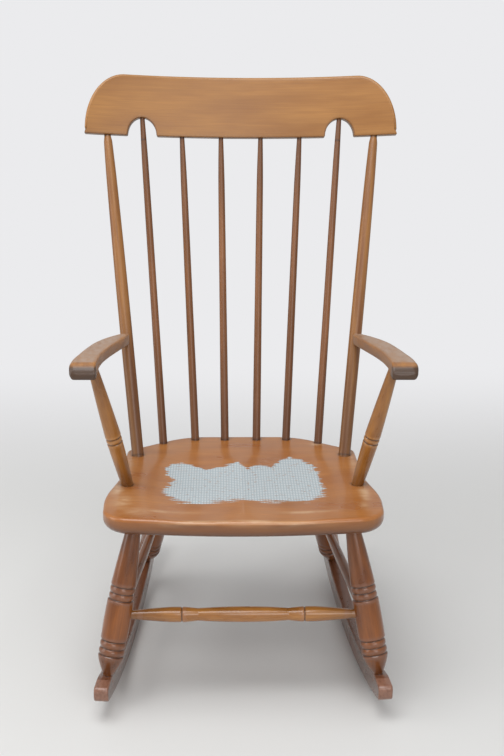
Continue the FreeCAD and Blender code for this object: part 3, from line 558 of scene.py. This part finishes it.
def boardLoops(low, high, lowRound, highRound, thickness, across, turn):
    # A loop round the board's section at each pair of points on its low and high edge lines: the front
    # face up, the high edge rolled over, the back face down, the low edge rolled under.
    # Gives (u, across the thickness, z), and how near each point is to an edge, from 0 to 1. Across and
    # turn are how many points a face and a quarter of an edge have.
    half = thickness / 2
    lowIn, highIn = inward(low, 1), inward(high, -1)
    angle = np.linspace(0, math.pi, turn * 2 + 1)
    pieces, nearness = [], []

    def face(depth, upwards):
        share = np.linspace(0, 1, across)[1:-1]
        share = share if upwards else share[::-1]
        first, last = low + lowIn * lowRound, high + highIn * highRound
        flat = first[:, None] * (1 - share)[None, :, None] + last[:, None] * share[None, :, None]
        pieces.append(np.stack([flat[..., 0], np.full(flat.shape[:2], depth), flat[..., 1]], -1))
        nearness.append(np.zeros(flat.shape[:2]))

    def edge(line, inner, radius, sign):
        # Two quarter arcs with the flat of the edge between them
        reach = radius * (1 - np.sin(angle))
        depth = -sign * np.where(angle < math.pi / 2, half - radius + radius * np.cos(angle),
                                 -half + radius + radius * np.cos(angle))
        spot = line[:, None] + inner[:, None] * reach[None, :, None]
        pieces.append(np.stack([spot[..., 0], np.broadcast_to(depth, spot.shape[:2]), spot[..., 1]], -1))
        nearness.append(np.broadcast_to(np.sin(angle) ** 0.5, spot.shape[:2]))

    face(-half, True)
    edge(high, highIn, highRound, 1)
    face(half, False)
    edge(low, lowIn, lowRound, -1)
    return np.concatenate(pieces, 1), np.concatenate(nearness, 1)


crest = {"halfLength": 320.2, "height": 125.0, "thickness": 20.0, "bow": 1050.0, "tilt": 18.3,
         "bottomY": 315.5, "bottomZ": 977.6, "shoulder": (80.0, 114.0), "notchAt": 204.7,
         "notch": (29.5, 37.5), "notchEase": 3.0, "topRound": 5.0, "bottomRound": 2.0, "step": 1.3,
         "shoulderSteps": 60, "archSteps": 80, "easeSteps": 8, "evenOver": 25, "across": 26, "turn": 7,
         "lowShade": 0.55, "shadeUp": 3.0, "topHighlight": 0.35, "highlightAbove": 60.0}


def crestEdges():
    # Low and high edge lines, point for point along the rail. The low one has two arched notches with
    # eased corners, the high one ends in quarter ellipses. Between the shoulders the low line is walked
    # evenly, and the high line's places are the low ones evened out, so that no two sections cross.
    wide, tall = crest["shoulder"]
    flat = crest["halfLength"] - wide
    notchWide, notchTall = crest["notch"]
    ease = crest["notchEase"]
    angle = np.linspace(0, math.pi / 2, crest["shoulderSteps"])[:-1]
    shoulder = flat + wide * np.cos(angle)
    highEnd = crest["height"] - tall + tall * np.sin(angle)
    start = math.asin(ease / notchTall)
    arch = np.linspace(start, math.pi - start, crest["archSteps"])
    turn = np.linspace(0, math.pi / 2, crest["easeSteps"])
    cornerX = ease * (1 - np.sin(turn))
    cornerZ = ease * (1 - np.cos(turn))
    reach = notchWide * math.cos(start)
    lineX = np.concatenate([[flat], crest["notchAt"] + reach + cornerX,
                            crest["notchAt"] + notchWide * np.cos(arch),
                            crest["notchAt"] - reach - cornerX[::-1], [0.0]])
    lineZ = np.concatenate([[0.0], cornerZ, notchTall * np.sin(arch), cornerZ[::-1], [0.0]])
    line = np.stack([lineX, lineZ], -1)
    lowX, lowZ = evenly(line, int(walked(line)[-1] / crest["step"])).T
    highX = softened(lowX, np.hanning(crest["evenOver"]), mode="reflect", reflect_type="odd")
    low = np.stack([np.append(shoulder, lowX), np.append(0 * shoulder, lowZ)], -1)
    top = np.full(len(highX), crest["height"])
    high = np.stack([np.append(shoulder, highX), np.append(highEnd, top)], -1)
    return [np.vstack([line * [-1, 1], line[::-1][1:]]) for line in (low, high)]


def bowedAndTilted(points):
    # Flat (x, depth, z) onto the bow's cylinder, then leaned back and set on the posts
    x, depth, z = points[..., 0], points[..., 1], points[..., 2]
    y = np.sqrt((crest["bow"] + depth) ** 2 - x ** 2) - crest["bow"]
    lean = math.radians(crest["tilt"])
    return np.stack([x, crest["bottomY"] + y * math.cos(lean) + z * math.sin(lean),
                     crest["bottomZ"] - y * math.sin(lean) + z * math.cos(lean)], -1)


weldReach = 0.00002  # m, closer points of a board are one point

low, high = crestEdges()
loops, nearness = boardLoops(low, high, crest["bottomRound"], crest["topRound"], crest["thickness"],
                             crest["across"], crest["turn"])
# Painted shade along the low edge, where the rail's underside is, and a painted highlight on its rounded top
# edge
lowness = np.exp(-np.clip(loops[..., 2] - low[:, None, 1], 0, None) / crest["shadeUp"])
crestHighlight = nearness * crest["topHighlight"] * (loops[..., 2] > crest["highlightAbove"])
crestShade = crest["lowShade"] * lowness
addPiece("crest_rail", [tube(bowedAndTilted(loops), loops[..., ::-1], crestShade, crestHighlight)],
         finishes["crest"], ["crest_rail"], weldReach)

rocker = {"length": 755.0, "thickness": 27.0, "height": 38.0, "halfGauge": 228.9, "toeIn": 4.52,
          "taper": 42.0, "taperRound": 80.0, "toeHeight": 27.0, "toeTop": 13.0, "toeBottom": 8.0,
          "tailTop": 26.0, "tailBottom": 8.0, "ease": 3.2, "endMiddle": 11.0, "step": 2.0, "sections": 420,
          "crowding": 0.6, "across": 10, "turn": 6, "rub": 0.3, "toeHighlight": 0.9, "toeFrom": -345.0}


def rockerEdges():
    # Low and high edge lines along the rocker's length u, from the middle of its front end to the
    # middle of its back end, still flat. Sections crowd towards the rounded ends.
    half, tall, middle = rocker["length"] / 2, rocker["height"], rocker["endMiddle"]
    lowPath = [(-half, middle, 0), (-half, 0, rocker["toeBottom"]), (half, 0, rocker["tailBottom"]),
               (half, middle, 0)]
    highPath = [(-half, middle, 0), (-half, rocker["toeHeight"], rocker["toeTop"]),
                (rocker["taper"] - half, tall, rocker["taperRound"]), (half, tall, rocker["tailTop"]),
                (half, middle, 0)]
    share = np.linspace(0, 1, rocker["sections"])
    share = share - rocker["crowding"] * np.sin(2 * math.pi * share) / (2 * math.pi)
    lines = []
    for path in (rounded(lowPath, rocker["step"]), rounded(highPath, rocker["step"])):
        places = np.linspace(0, 1, len(path))
        lines.append(np.stack([np.interp(share, places, path[:, k]) for k in (0, 1)], -1))
    return lines


def arched(points, side):
    # Flat (u, depth, z) onto the rocker's arc: z is the distance in from the running edge
    u, depth, z = points[..., 0], points[..., 1], points[..., 2]
    radius = balance["arcRadius"] - z
    height = balance["arcRadius"] - np.sqrt(radius ** 2 - (u - balance["touchY"]) ** 2)
    turn = math.radians(rocker["toeIn"])
    x = rocker["halfGauge"] + depth * math.cos(turn) - u * math.sin(turn)
    y = depth * math.sin(turn) + u * math.cos(turn)
    return np.stack([side * x, y, height], -1)


low, high = rockerEdges()
loops, nearness = boardLoops(low, high, rocker["ease"], rocker["ease"], rocker["thickness"],
                             rocker["across"], rocker["turn"])
# Painted highlight along the rounded edges, stronger on the toe
rockerHighlight = nearness * np.where(loops[..., 0] < rocker["toeFrom"], rocker["toeHighlight"], rocker["rub"])
for name, side in (("left_rocker", 1), ("right_rocker", -1)):
    addPiece(name, [tube(arched(loops, side), loops[..., ::-1], 0.0, rockerHighlight)], finishes["rocker"],
             [name], weldReach)
print("crest rail and rockers made")


# Seat

# Worn places, with the painted highlight along the front edge, and the film's outline are in the seat's own
# plane, mm: x out, y back from its front
seat = {"tilt": 3.8, "frontY": -327.5, "frontZ": 406.5, "thickness": 34.0, "topRound": 7.0,
        "bottomRound": 18.0, "middle": (0.0, 215.0),
        "corners": [(0.0, -17.5, 1300.0), (252.0, 7.4, 54.0), (257.0, 119.0, 260.0), (236.0, 218.0, 240.0),
                    (233.0, 381.0, 20.0), (193.5, 409.0, 150.0), (118.0, 467.0, 130.0)],
        "hollow": {"x": 84.0, "y": 172.0, "halfWidth": 108.0, "halfLength": 205.0, "depth": 7.5},
        "sockets": [(209.8, 346.9, 12.5), (33.3, 445.4, 8.3), (95.6, 445.9, 8.3), (161.8, 423.9, 8.3),
                    (218.4, 176.6, 11.5)],
        # x, y, half size across and back, how much paler. The two rows at the front edge, y near -5, are a
        # painted highlight along its top arris; the rest are rubbed places
        "wornAndLit": [(-236, 150, 12, 34, 0.9), (-222, 90, 16, 40, 0.7), (-196, 42, 26, 16, 0.6),
                 (226, 128, 9, 40, 0.9), (221, 70, 10, 22, 0.5), (-150, 44, 60, 7, 0.5),
                 (110, 44, 44, 6, 0.7), (20, -6, 120, 5, 0.6), (-90, -4, 70, 5, 0.5), (157, 414, 12, 8, 0.9),
                 (-222, 285, 9, 60, 0.5), (222, 300, 8, 60, 0.4)],
        "film": [(-149, 164), (-144, 129), (-123, 106), (-88, 97), (-39, 101), (18, 106), (71, 102),
                 (117, 106), (149, 127), (152, 172), (148, 235), (146, 279), (123, 319), (97, 339),
                 (77, 325), (60, 285), (34, 297), (11, 269), (-8, 303), (-46, 286), (-69, 275), (-92, 292),
                 (-119, 309), (-138, 298), (-150, 276), (-148, 243), (-131, 218)],
        # How far in the film fades out, at these distances back from the front
        "fadeAt": [90, 150, 230], "fade": [40, 30, 16],
        # Dark ring round a socket, partly the glue line of the joint and partly painted shade where the piece
        # meets the seat: how dark, and the mm over which it fades
        "socketGlueAndShade": (0.9, 2.0),
        # Darker along the back rim: how dark, how wide, and how far back it starts and over what length
        "rimDark": (0.45, 12.0, 330.0, 60.0),
        # Painted shade down the board's edge, darker towards the underside: how dark, from how far down, and
        # over how many mm it comes in
        "edgeGlaze": [(0.6, 5.5, 3.0), (0.3, 18.0, 10.0)],
        # How far down from the top each of these reaches
        "down": {"socket": 10.0, "rim": 6.0, "wearAndHighlight": 12.0, "film": 14.0},
        "around": 520, "topRings": 92, "topTurn": 9, "bottomTurn": 11, "underRings": 16, "pole": 0.004}


def seatOutline(count):
    # Closed line of the seat's plan, evenly spaced, from its corners on one side and their mirror. It
    # starts on the straight run before the front's middle, clear of both corners' arcs.
    corners = seat["corners"]
    mirrored = [(-x, y, r) for x, y, r in reversed(corners[1:])]
    ring = corners + mirrored
    start = np.array(ring[-1][:2]) * 0.65 + np.array(ring[0][:2]) * 0.35
    path = rounded([(*start, 0)] + ring + [(*start, 0)], 1.0)
    return evenly(path, count, closed=True)


def hollowDepth(x, y):
    # Two thigh hollows, each part of a ring surface, met softly by the flat round them
    h = seat["hollow"]
    wide = (h["halfWidth"] ** 2 + h["depth"] ** 2) / (2 * h["depth"])
    long = (h["halfLength"] ** 2 + h["depth"] ** 2) / (2 * h["depth"])
    deepest = np.full(np.shape(x), -50.0)
    for side in (-1, 1):
        across = np.clip(wide ** 2 - (x - side * h["x"]) ** 2, 0, None)
        reach = long - wide + np.sqrt(across)
        floor = long - h["depth"] - np.sqrt(np.clip(reach ** 2 - (y - h["y"]) ** 2, 0, None))
        deepest = np.maximum(deepest, -floor)
    return 0.5 * (deepest + np.sqrt(deepest ** 2 + 1.2)) - 0.02


def onSeat(x, y, z):
    lean = math.radians(seat["tilt"])
    return np.stack([x, seat["frontY"] + y * math.cos(lean) + z * math.sin(lean),
                     seat["frontZ"] - y * math.sin(lean) + z * math.cos(lean)], -1)


def seatRings():
    # Rings out from the middle over the top, round the edge, and back in underneath
    outline = seatOutline(seat["around"])
    along = np.roll(outline, -1, 0) - np.roll(outline, 1, 0)
    inner = np.stack([-along[:, 1], along[:, 0]], -1)
    inner /= np.linalg.norm(inner, axis=1)[:, None]
    if (inner * (np.array(seat["middle"]) - outline)).sum() < 0:
        inner = -inner
    rings, heights = [], []
    centre = np.array(seat["middle"])
    top = outline + inner * seat["topRound"]
    for share in np.linspace(seat["pole"], 1, seat["topRings"])[:-1]:
        rings.append(centre + (top - centre) * share)
        heights.append(0.0)
    for angle in np.linspace(0, math.pi / 2, seat["topTurn"]):
        rings.append(outline + inner * seat["topRound"] * (1 - math.sin(angle)))
        heights.append(-seat["topRound"] * (1 - math.cos(angle)))
    for angle in np.linspace(math.pi / 2, 0, seat["bottomTurn"]):
        rings.append(outline + inner * seat["bottomRound"] * (1 - math.sin(angle)))
        heights.append(-seat["thickness"] + seat["bottomRound"] * (1 - math.cos(angle)))
    under = outline + inner * seat["bottomRound"]
    for share in np.linspace(1, seat["pole"], seat["underRings"])[1:]:
        rings.append(centre + (under - centre) * share)
        heights.append(-seat["thickness"])
    return np.array(rings), np.array(heights)[:, None]


def insideLoop(x, y, corners):
    # Distance in from a closed line of corners, mm: positive inside. The nearest side gives the distance,
    # and the number of sides a level line crosses gives in or out.
    ends = np.array(corners, float)
    nearest = np.full(np.shape(x), 1e9)
    crossings = np.zeros(np.shape(x), int)
    for (ax, ay), (bx, by) in zip(ends, np.roll(ends, -1, 0)):
        along = ((x - ax) * (bx - ax) + (y - ay) * (by - ay)) / ((bx - ax) ** 2 + (by - ay) ** 2)
        share = np.clip(along, 0, 1)
        nearest = np.minimum(nearest, np.hypot(x - ax - share * (bx - ax), y - ay - share * (by - ay)))
        spans = (ay > y) != (by > y)
        crossings += spans & (x < ax + (y - ay) * (bx - ax) / (by - ay + 1e-9))
    return np.where(crossings % 2 == 1, nearest, -nearest)


plan, height = seatRings()
x, y = plan[..., 0], plan[..., 1]
onTop = height > -seat["topRound"] - 0.01
z = height - np.where(onTop, hollowDepth(x, y), 0.0)

# Dark round the sockets, partly glue line and partly painted shade, darker along the back rim, and painted
# shade down the board's edge
seatDarkening = np.zeros_like(x)
dark, fade = seat["socketGlueAndShade"]
for socketX, socketY, socketRadius in seat["sockets"]:
    far = np.clip((np.hypot(np.abs(x) - socketX, y - socketY) - socketRadius) / fade, 0, None)
    seatDarkening = np.maximum(seatDarkening, dark * np.exp(-far) * (z > -seat["down"]["socket"]))
dark, wide, start, over = seat["rimDark"]
rim = np.clip(insideLoop(x, y, seatOutline(160)) / wide, 0, 1)
back = np.clip((y - start) / over, 0, 1) * (z > -seat["down"]["rim"])
seatDarkening = np.maximum(seatDarkening, dark * (1 - rim) * back)
lowEdge = sum(dark * np.clip((-z - down) / over, 0, 1) for dark, down, over in seat["edgeGlaze"])
seatDarkening = np.maximum(seatDarkening, lowEdge)
# Rubbed places, and the painted highlight along the front arris
seatWearAndHighlight = np.zeros_like(x)
for wornX, wornY, across, back, amount in seat["wornAndLit"]:
    spot = amount * np.exp(-((x - wornX) / across) ** 2 - ((y - wornY) / back) ** 2)
    seatWearAndHighlight = np.maximum(seatWearAndHighlight, spot * (z > -seat["down"]["wearAndHighlight"]))
film = np.clip(insideLoop(x, y, seat["film"]) / np.interp(y, seat["fadeAt"], seat["fade"]), -2, 2)
film = np.where(z > -seat["down"]["film"], film, -2.0)
seatGrain = np.stack([y, z, x], -1)
addPiece("seat", [tube(onSeat(x, y, z), seatGrain, seatDarkening, seatWearAndHighlight, film)], finishes["seat"],
         ["seat"])
print("seat made")


# Arms

arm = {"frontY": -257.5, "noseY": -190.0, "noseRound": 26.0, "noseLift": 2.5, "noseIn": 7.0,
       "thickness": 21.0, "capEase": 1.6, "tipY": 96.5, "tipZ": 617.0, "rise": 0.155, "outerRound": 9.5,
       "innerRound": 3.5, "tipFrom": 92.0, "tipOver": 20.0, "tipDrop": 4.0, "noseRings": 26, "rings": 150,
       "noseFade": 6.0, "darkFrom": 3.5, "darkOver": 5.0, "underShade": 0.6, "noseClean": 0.8,
       "y": (-257.5, -235.0, -190.0, -139.5, -71.5, 2.5, 59.5, 92.0, 112.0),
       "inner": (260.5, 260.5, 260.5, 259.0, 251.5, 239.5, 230.0, 227.0, 230.0),
       "outer": (308.0, 308.3, 308.5, 304.5, 298.0, 286.5, 268.0, 252.5, 241.5)}


def throughPoints(at, places, values):
    # Smooth line through the points: cubic pieces whose slopes come from their neighbours
    places, values = np.array(places, float), np.array(values, float)
    slope = np.gradient(values, places)
    k = np.clip(np.searchsorted(places, at) - 1, 0, len(places) - 2)
    gap = places[k + 1] - places[k]
    t = (at - places[k]) / gap
    return ((2 * t ** 3 - 3 * t ** 2 + 1) * values[k] + (t ** 3 - 2 * t ** 2 + t) * gap * slope[k]
            + (3 * t ** 2 - 2 * t ** 3) * values[k + 1] + (t ** 3 - t ** 2) * gap * slope[k + 1])


def armTop(y):
    return arm["tipZ"] + arm["rise"] * (arm["tipY"] - y)


def armRings():
    # Sections square to the chair's depth, each a rectangle with its outer corners well rounded and its
    # inner ones just eased; towards the front the top rolls down over the nose
    share = np.linspace(0, 1, arm["noseRings"])
    start = arm["frontY"] + arm["capEase"]
    nose = start + (arm["noseRound"] - arm["capEase"]) * (1 - np.cos(share * math.pi / 2))
    y = np.concatenate([nose, np.linspace(nose[-1], arm["y"][-1], arm["rings"])[1:]])
    inner = throughPoints(y, arm["y"], arm["inner"])
    outer = throughPoints(y, arm["y"], arm["outer"])
    rest = np.clip(1 - (y - arm["frontY"]) / arm["noseRound"], 0, 1)
    roll = np.minimum(arm["noseRound"] * (1 - np.sqrt(1 - rest ** 2)), 0.75 * arm["noseRound"])
    outer = outer - arm["noseIn"] * (1 - np.sqrt(1 - rest ** 3))
    tip = np.clip((y - arm["tipFrom"]) / arm["tipOver"], 0, 1) ** 2 * arm["tipDrop"]
    low = armTop(np.maximum(y, arm["noseY"])) - arm["thickness"] + arm["noseLift"] * rest ** 4 + tip
    high = armTop(y) - roll - tip
    tall = high - low
    big = np.minimum(np.minimum(arm["outerRound"], 0.46 * tall), 0.46 * (outer - inner))
    small = np.minimum(arm["innerRound"], 0.45 * tall)
    loop = []
    for x, z, radius, outX, outZ, turn in ((outer, high, big, 1, 1, 0), (inner, high, small, -1, 1, 1),
                                           (inner, low, small, -1, -1, 2), (outer, low, big, 1, -1, 3)):
        angle = (turn + np.linspace(0, 1, 9))[None, :] * math.pi / 2
        cornerX = (x - outX * radius)[:, None] + radius[:, None] * np.cos(angle)
        cornerZ = (z - outZ * radius)[:, None] + radius[:, None] * np.sin(angle)
        loop.append(np.stack([cornerX, np.broadcast_to(y[:, None], cornerX.shape), cornerZ], -1))
        if turn in (0, 2):
            run = np.linspace(0, 1, 14)[1:-1]
            otherX = (inner + small)[:, None] if turn == 0 else (outer - big)[:, None]
            flatX = cornerX[:, -1:] * (1 - run) + otherX * run
            loop.append(np.stack([flatX, np.broadcast_to(y[:, None], flatX.shape),
                                  np.broadcast_to(z[:, None], flatX.shape)], -1))
    loops = np.concatenate(loop, 1)
    cap = loops[:1].mean(1, keepdims=True) * 0.22 + loops[:1] * 0.78 - [0, arm["capEase"], 0]
    return np.concatenate([cap, loops]), np.append(high[0], high), np.append(low[0], low)


armLoops, armHigh, armLow = armRings()
armY, armZ = armLoops[..., 1], armLoops[..., 2]
upness = np.clip((armZ - armLow[:, None]) / (armHigh - armLow)[:, None], 0, 1)
across = armLoops[..., 0] - armLoops[..., 0].min(1, keepdims=True)
across = across / across.max(1, keepdims=True)
rolled = np.clip((arm["frontY"] + arm["noseRound"] - armY) / arm["noseFade"], 0, 1)
# Painted shade on the front face of the nose, below its rolled top
front = rolled * np.clip((armTop(armY) - armZ - arm["darkFrom"]) / arm["darkOver"], 0, 1)

# Painted shade on the nose's front and underneath, and rubbed on top, most along the middle
armShade = np.maximum(front, arm["underShade"] * (1 - upness) ** 4)
onTop = np.clip(upness * 2.2 - 1.1, 0, 1) * np.clip(1.7 * np.sin(math.pi * across), 0, 1)
armWear = onTop * (1 - arm["noseClean"] * rolled)
armGrain = armLoops[..., [0, 2, 1]]
for name, side in (("left_arm", 1), ("right_arm", -1)):
    addPiece(name, [tube(armLoops * [side, 1, 1], armGrain, armShade, armWear)], finishes["arm"],
             [name])
print("arms made")


# Dowels through the rockers, and the screws behind the posts

pin = {"radius": 3.0, "proud": 0.25, "down": 12.0, "spare": 0.1, "around": 24}
screw = {"radius": 4.4, "height": 604.0, "behind": 12.5, "slot": 0.13, "slotDepth": 0.9, "dome": 0.5,
         "sink": 0.5, "rings": 22, "around": 72}


def domedRod(centre, run, length):
    # A short rod centred on a point, its two ends slightly domed
    distance = np.array([-0.5, -0.5, -0.5, 0.5, 0.5, 0.5]) * length
    distance += np.array([-1, -0.5, 0, 0, 0.5, 1]) * pin["proud"]
    size = np.array([0.3, 0.8, 1.0, 1.0, 0.8, 0.3]) * pin["radius"]
    rings, grain = turnedRings(centre, centre + run, distance, size, pin["around"])
    return tube(rings, grain, 0.25)


pins = []
toeIn = math.radians(rocker["toeIn"])
pinRun = np.array([math.cos(toeIn), math.sin(toeIn), 0])
for foot, top in (leg["front"], leg["rear"]):
    centre = np.array(foot) - unit(np.subtract(top, foot)) * pin["down"]
    centre = centre - pinRun * ((centre - [rocker["halfGauge"], 0, 0]) @ pinRun)
    for middle, run in ((centre, pinRun), (otherSide(centre), otherSide(pinRun))):
        pins.append(domedRod(middle, run, rocker["thickness"] + pin["spare"]))
addPiece("rocker_pins", pins, finishes["turned"], ["rocker_pins"])


def zincSteel():
    # Zinc-plated steel screw: dull silver with scratches about 0.4 mm wide and 2 mm long
    material, tree, shader = newMaterial("zinc plated steel, dull")
    shader.inputs["Base Color"].default_value = colour("a9a79f")
    shader.inputs["Metallic"].default_value = 1.0
    place = addNode(tree, "ShaderNodeTexCoord", {}, "Object")
    stretched = addNode(tree, "ShaderNodeMapping", {"Vector": place,
                                                    "Scale": [metre / s for s in (0.4, 0.4, 2.0)]})
    scratches = addNode(tree, "ShaderNodeTexNoise", {"Vector": stretched, "Scale": 1.0, "Detail": 3.0})
    rough = addNode(tree, "ShaderNodeMapRange", {"Value": scratches, "From Min": 0.3, "From Max": 0.7,
                                                 "To Min": 0.32, "To Max": 0.5})
    tree.links.new(rough, shader.inputs["Roughness"])
    return material


def screwHead(centre, run):
    # A low countersunk head: rings out from its middle, sunk along a slot across it, and a tapered skirt
    side = unit(np.cross(run, [0, 0, 1]))
    up = np.cross(side, run)
    radius = screw["radius"]
    size = np.linspace(0.02, 1, screw["rings"])[:, None] * radius
    angle = np.linspace(0, 2 * math.pi, screw["around"], endpoint=False)[None, :]
    a, b = size * np.cos(angle), size * np.sin(angle)
    sunk = np.exp(-(a / (screw["slot"] * radius)) ** 4) * screw["slotDepth"]
    rise = screw["dome"] * (1 - (size / radius) ** 2) - sunk
    point = centre - run * (screw["sink"] + rise[..., None]) + side * a[..., None] + up * b[..., None]
    skirt = [centre + run * depth + (side * np.cos(angle.T) + up * np.sin(angle.T)) * radius * share
             for depth, share in ((0.6, 0.9), (3.0, 0.5), (8.0, 0.45))]
    rings = np.concatenate([point, np.array(skirt)], 0)
    return tube(rings, rings)


postStart, postEnd = (np.array(end) for end in post["ends"])
postRun = unit(postEnd - postStart)
spot = postStart + postRun * ((screw["height"] - postStart[2]) / postRun[2])
armMiddle = np.stack([np.add(arm["inner"], arm["outer"]) / 2, arm["y"]], -1)
screwRun = unit([*unit(armMiddle[5] - armMiddle[7]), arm["rise"]])  # along the arm's rear stretch
head = spot - screwRun * screw["behind"] / math.sqrt(1 - (screwRun @ postRun) ** 2)
addPiece("arm_screws", [screwHead(head, screwRun), screwHead(otherSide(head), otherSide(screwRun))],
         zincSteel(), ["arm_screws"])
print("pins and screws made")


# Floor, light and camera

# Colours of the floor, the wall and the sky, how far back the floor turns into wall, m, and how strong
# the sky is as a light and where the camera sees it
studio = {"floor": "dcdcda", "wall": "ebebed", "wallFrom": 0.5, "wallBy": 2.0, "sky": "f0f0f2",
          "skyLight": 0.56, "skySeen": 0.95}


def plainFloor():
    # Matt painted board, pale grey, so the shadows show; farther back the camera sees an even pale wall
    material, tree, shader = newMaterial("floor, matt pale paint")
    shader.inputs["Base Color"].default_value = colour(studio["floor"])
    shader.inputs["Roughness"].default_value = 0.8
    place = addNode(tree, "ShaderNodeTexCoord", {}, "Object")
    depth = addNode(tree, "ShaderNodeSeparateXYZ", {"Vector": place}, "Y")
    far = addNode(tree, "ShaderNodeMapRange", {"Value": depth, "From Min": studio["wallFrom"],
                                               "From Max": studio["wallBy"]}, interpolation_type="SMOOTHSTEP")
    seen = addNode(tree, "ShaderNodeLightPath", {}, "Is Camera Ray")
    share = addNode(tree, "ShaderNodeMath", {0: far, 1: seen}, operation="MULTIPLY")
    glow = addNode(tree, "ShaderNodeEmission", {"Color": colour(studio["wall"]), "Strength": 1.0})
    mixed = addNode(tree, "ShaderNodeMixShader", {0: share, 1: shader.outputs[0], 2: glow})
    tree.links.new(mixed, tree.nodes["Material Output"].inputs["Surface"])
    return material


# Metres. Under is how far the floor lies below the rockers
floorSize = {"width": 9.0, "back": 5.0, "front": 6.0, "sweep": 1.2, "wall": 4.0, "under": 0.0005}


def sweepPoints():
    # Floor that curves up into a backdrop: flat run, quarter circle, upright
    s = floorSize
    angle = np.linspace(0, math.pi / 2, 16)
    y = np.concatenate([[-s["front"]], s["back"] - s["sweep"] + s["sweep"] * np.sin(angle), [s["back"]]])
    z = np.concatenate([[0.0], s["sweep"] * (1 - np.cos(angle)), [s["wall"]]])
    return y, z


floorY, floorZ = sweepPoints()
across, up = np.meshgrid([-floorSize["width"], floorSize["width"]], floorZ - floorSize["under"])
corners = np.stack([across, np.repeat(floorY[:, None], 2, 1), up], -1).reshape(-1, 3)
strips = 2 * np.arange(len(floorY) - 1)[:, None] + [0, 1, 3, 2]
floorMesh = bpy.data.meshes.new("floor")
floorMesh.from_pydata(corners.tolist(), [], strips.tolist())
floorMesh.shade_smooth()
floorMesh.materials.append(plainFloor())
floorPiece = bpy.data.objects.new("floor", floorMesh)
bpy.context.scene.collection.objects.link(floorPiece)
floorPiece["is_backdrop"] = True


def placed(name, data, sideways, upwards, backwards, at):
    # A lamp or camera at a place, turned so that its own x, y and z run along these directions
    holder = bpy.data.objects.new(name, data)
    holder.matrix_world = Matrix([[sideways[k], upwards[k], backwards[k], at[k]] for k in range(3)]
                                 + [[0, 0, 0, 1]])
    bpy.context.scene.collection.objects.link(holder)
    return holder


# Metres and watts
lamps = {
    "overhead": {"at": (-0.6, -1.2, 3.4), "to": (0.0, 0.0, 0.5), "size": (2.6, 2.2), "power": 70.0},
    "front": {"at": (0.9, -4.2, 2.2), "to": (0.0, 0.0, 0.6), "size": (2.4, 2.0), "power": 42.0},
    "side": {"at": (-3.0, -0.6, 1.6), "to": (0.0, 0.0, 0.6), "size": (1.6, 2.2), "power": 22.0},
}
for name, lamp in lamps.items():
    light = bpy.data.lights.new(name, "AREA")
    light.shape = "RECTANGLE"
    light.size, light.size_y = lamp["size"]
    light.energy = lamp["power"]
    backwards = unit(np.subtract(lamp["at"], lamp["to"]))
    sideways = unit(np.cross([0, 0, 1], backwards))
    placed(name, light, sideways, np.cross(backwards, sideways), backwards, lamp["at"])

world = bpy.data.worlds.new("soft room")
bpy.context.scene.world = world
world.use_nodes = True
# Lights the chair softly, and is as pale as the wall where the camera sees it past the backdrop
sky = world.node_tree.nodes["Background"]
sky.inputs["Color"].default_value = colour(studio["sky"])
seenSky = addNode(world.node_tree, "ShaderNodeLightPath", {}, "Is Camera Ray")
skyStrength = addNode(world.node_tree, "ShaderNodeMapRange",
                      {"Value": seenSky, "To Min": studio["skyLight"], "To Max": studio["skySeen"]})
world.node_tree.links.new(skyStrength, sky.inputs["Strength"])

view = {"at": (-0.0396, -2.3698, 1.2603), "yaw": 1.452, "pitch": 16.708, "roll": 0.408, "lens": 59.16,
        "sensor": 36.0}
yaw, pitch, roll = (math.radians(view[k]) for k in ("yaw", "pitch", "roll"))
forward = np.array([math.sin(yaw) * math.cos(pitch), math.cos(yaw) * math.cos(pitch), -math.sin(pitch)])
level = np.array([math.cos(yaw), -math.sin(yaw), 0.0])
above = np.cross(level, forward)
rightward = level * math.cos(roll) + above * math.sin(roll)
upward = above * math.cos(roll) - level * math.sin(roll)
camera = bpy.data.cameras.new("photo camera")
camera.lens = view["lens"]
camera.sensor_width = view["sensor"]
bpy.context.scene.camera = placed("photo camera", camera, rightward, upward, -forward, view["at"])
bpy.context.scene.view_settings.view_transform = "Standard"
print("light and camera set")

low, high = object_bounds()
